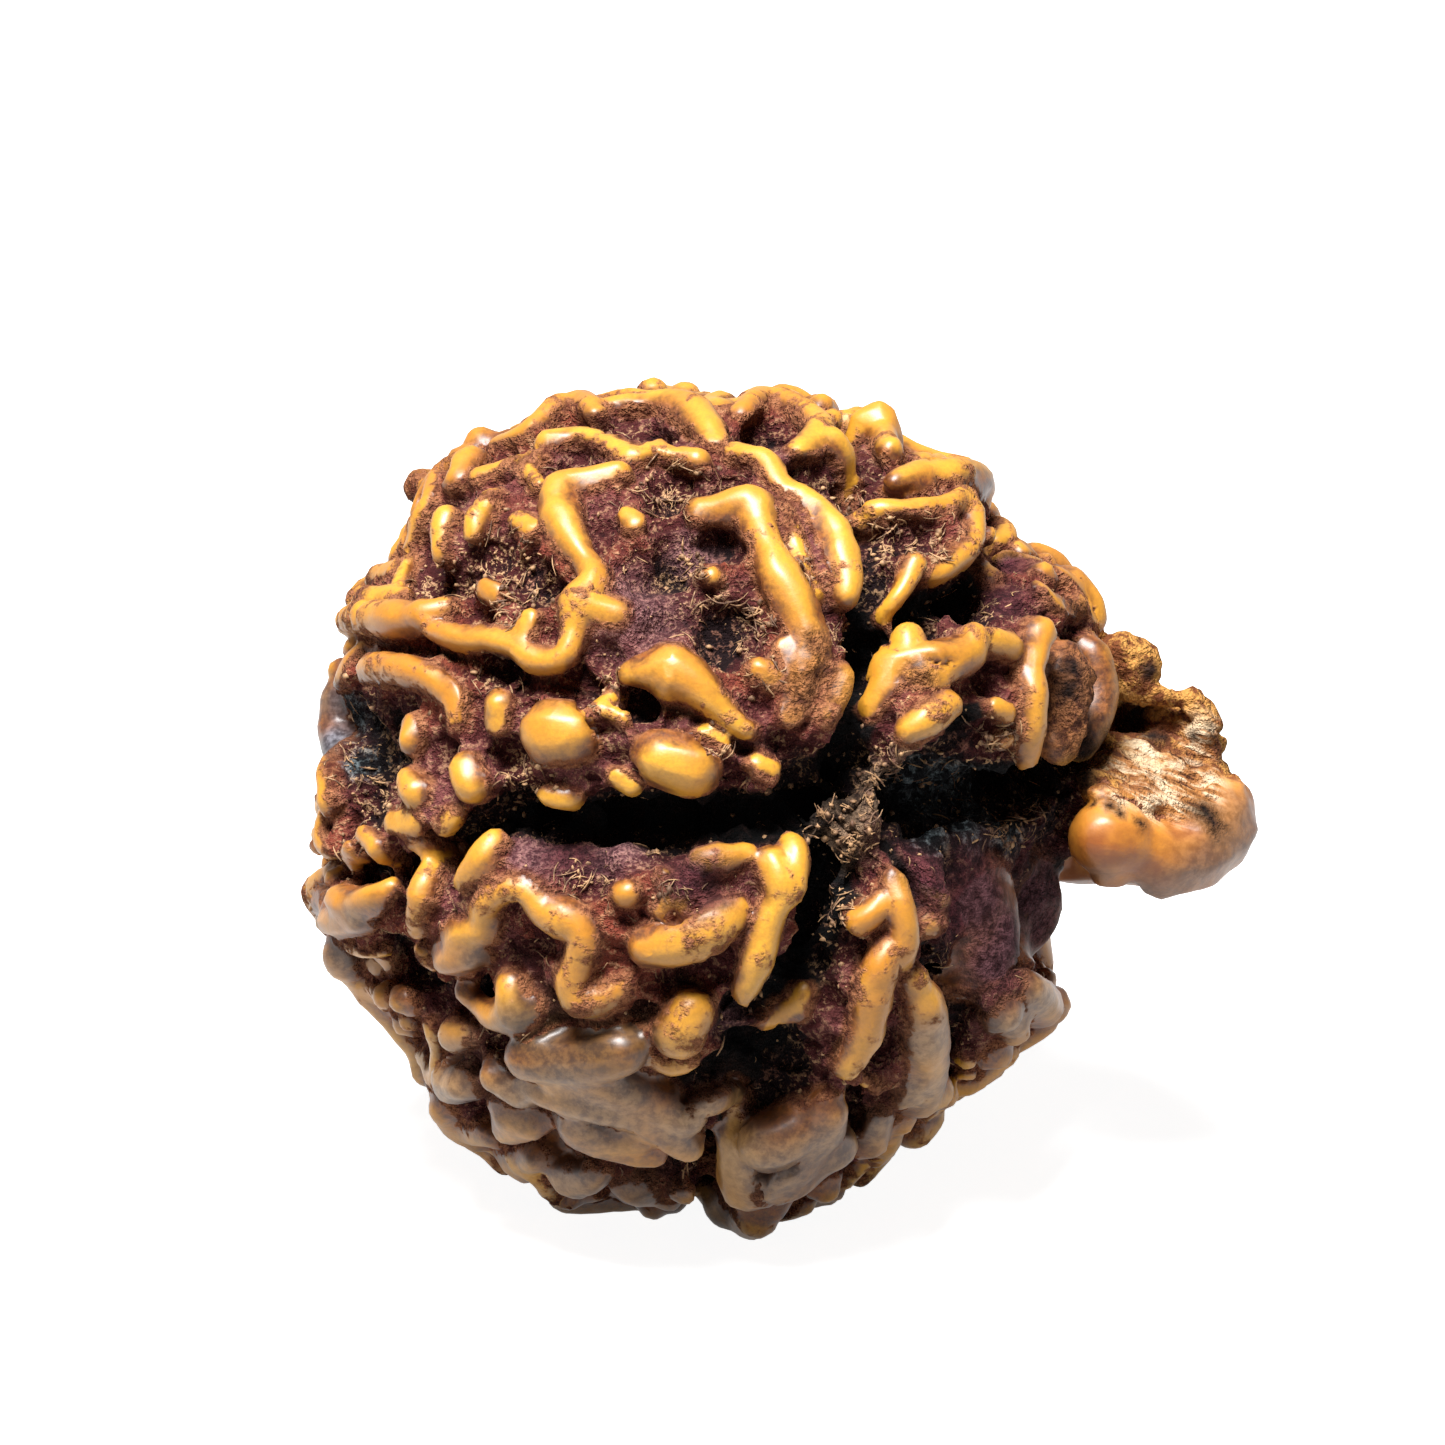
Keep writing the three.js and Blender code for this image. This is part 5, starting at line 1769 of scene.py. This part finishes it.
    def trunk(self, ridge):
        """The trunk's golden bean with painted shade at its lower right end, its husk and its torn shelf."""
        bean = self.band("bean", self.swung("bean", self.coarse, self.middle))
        shreds = self.band("shreds", self.swung("shreds", self.fine, self.middle))
        tone = self.mix(self.attribute("trunk"), ridge, self.tones("bean", bean))
        tone = self.patch("bean_shade", TRUNK_COVER, tone, self.speckled("bean_shade"))
        tone = self.patch("husk", TRUNK_COVER, tone, self.tones("husk", shreds))
        return self.patch("torn", TRUNK_COVER, tone, self.torn())

    def tone(self):
        tone = self.mix(self.off_ridge, self.trunk(self.ridge()), self.fringe())
        tone = self.mix(self.band("ground", self.edge), tone, self.ground())
        # Stains and painted shadow, laid over all
        return self.patch("stain_and_shadow", TRUNK_COVER, tone, self.speckled("stain_and_shadow"))

    def dryness(self):
        """0 where the stone is polished, 1 where it is dusty, torn or fibrous."""
        dry = self.off_ridge
        for name in DRY_PATCHES:
            dry = self.worked_out(dry, "MAXIMUM", self.attribute(name))
        return self.band("dry", dry)

    def relief(self, dry):
        """The finest grain, and the strands of the torn shelf."""
        bump = self.node("ShaderNodeBump", Distance=BUMP_DEPTH)
        strands = self.times(self.attribute("torn"), self.strands)
        self.feed(bump.inputs["Strength"], self.blend(dry, POLISHED_BUMP, 1.0))
        self.feed(bump.inputs["Height"], self.plus(self.plus(self.fine, self.finest), strands))
        return bump.outputs["Normal"]


def stone_material():
    paint = StonePaint()
    dry = paint.dryness()
    polished = paint.blend(paint.finest, *POLISHED_ROUGHNESS)
    paint.finish("Base Color", paint.tone())
    paint.finish("Roughness", paint.blend(dry, polished, DRY_ROUGHNESS))
    paint.finish("Coat Weight", paint.blend(dry, 1.0, 0.0))
    paint.finish("Coat Roughness", COAT_ROUGHNESS)
    paint.finish("Specular IOR Level", STONE_SHINE)
    paint.finish("Normal", paint.relief(dry))
    return paint.material


def fibre_material():
    paint = Paint("dry tan fibre")
    paint.finish("Base Color", paint.tones("fibre", paint.mottle("fibre")[1]))
    paint.finish("Roughness", FIBRE_ROUGHNESS)
    return paint.material


def floor_material():
    """Pale paint that looks white to the eye and throws only a little light back on the stone."""
    paint = Paint("white studio floor")
    light_path = paint.node("ShaderNodeLightPath").outputs
    seen = light_path["Is Camera Ray"]
    mirrored = light_path["Is Glossy Ray"]
    glow = paint.plus(paint.times(seen, FLOOR_GLOW_SEEN), paint.times(mirrored, FLOOR_GLOW_MIRRORED))
    paint.finish("Base Color", paint.mix(seen, FLOOR_PAINT_UNSEEN, FLOOR_PAINT_SEEN))
    paint.finish("Roughness", FLOOR_ROUGHNESS)
    paint.finish("Emission Color", WHITE)
    paint.finish("Emission Strength", glow)
    return paint.material


# Camera, light and floor


def add_camera():
    """An eye that looks at the picture's middle from the front and above."""
    middle = picture_spot(PICTURE_PX / 2, PICTURE_PX / 2) + np.array((0, 0, centre_height))
    bpy.ops.object.camera_add(location=Vector((middle + TO_EYE * EYE_DISTANCE) * MM))
    camera = bpy.context.object
    camera.rotation_euler = Vector(TO_EYE).to_track_quat("Z", "Y").to_euler()
    camera.data.sensor_width = SENSOR_WIDTH
    camera.data.lens = SENSOR_WIDTH * EYE_DISTANCE / (PICTURE_PX * MM_PER_PX)
    camera.data.clip_start = NEAREST_SEEN
    bpy.context.scene.camera = camera


def add_key_lamp():
    """A soft square lamp that faces the stone."""
    aim = Vector((0, 0, centre_height)) * MM
    place = Vector(LAMP_PLACE) * MM
    bpy.ops.object.light_add(type="AREA", location=place)
    lamp = bpy.context.object
    lamp.name = "key lamp"
    lamp.rotation_euler = (place - aim).to_track_quat("Z", "Y").to_euler()
    lamp.data.size = LAMP_SIZE * MM
    lamp.data.energy = LAMP_POWER


def add_floor():
    """A pale floor with a pale wall far off round it."""
    bpy.ops.mesh.primitive_circle_add(vertices=ROOM_SIDES, radius=ROOM_RADIUS, location=(0, 0, ROOM_HEIGHT))
    floor = bpy.context.object
    bpy.ops.object.mode_set(mode="EDIT")
    bpy.ops.mesh.select_all(action="SELECT")
    bpy.ops.mesh.extrude_edges_move(TRANSFORM_OT_translate={"value": (0, 0, -ROOM_HEIGHT)})
    bpy.ops.mesh.edge_face_add()
    bpy.ops.mesh.select_all(action="SELECT")
    bpy.ops.mesh.normals_make_consistent(inside=True)
    bpy.ops.object.mode_set(mode="OBJECT")
    floor.name = "studio_floor"
    floor.data.materials.append(floor_material())


def add_dim_room():
    """A soft white light from all round."""
    world = bpy.data.worlds.new("soft white room")
    world.use_nodes = True
    background = world.node_tree.nodes["Background"].inputs
    background["Color"].default_value = WHITE
    background["Strength"].default_value = ROOM_LIGHT
    bpy.context.scene.world = world
    bpy.context.scene.view_settings.view_transform = "Standard"


def set_down(piece, material):
    """Puts a piece in its place on the flat, in metres, with its finish."""
    places = vertex_places(piece)
    places[:, 2] = np.maximum(places[:, 2], -centre_height)
    set_vertex_places(piece, (places + (0, 0, centre_height)) * MM)
    select_only(piece)
    bpy.ops.object.shade_smooth()
    piece.data.materials.clear()
    piece.data.materials.append(material)
    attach(piece, "root")


add_camera()
add_floor()
add_dim_room()
add_key_lamp()
mottle_nodes = mottle_group()
skin = add_skin()
fibres = add_fibres(skin)
crumbs = add_crumbs(skin)
dry_fibre = fibre_material()
set_down(skin, stone_material())
set_down(fibres, dry_fibre)
set_down(crumbs, dry_fibre)
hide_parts("rudraksha_stone")
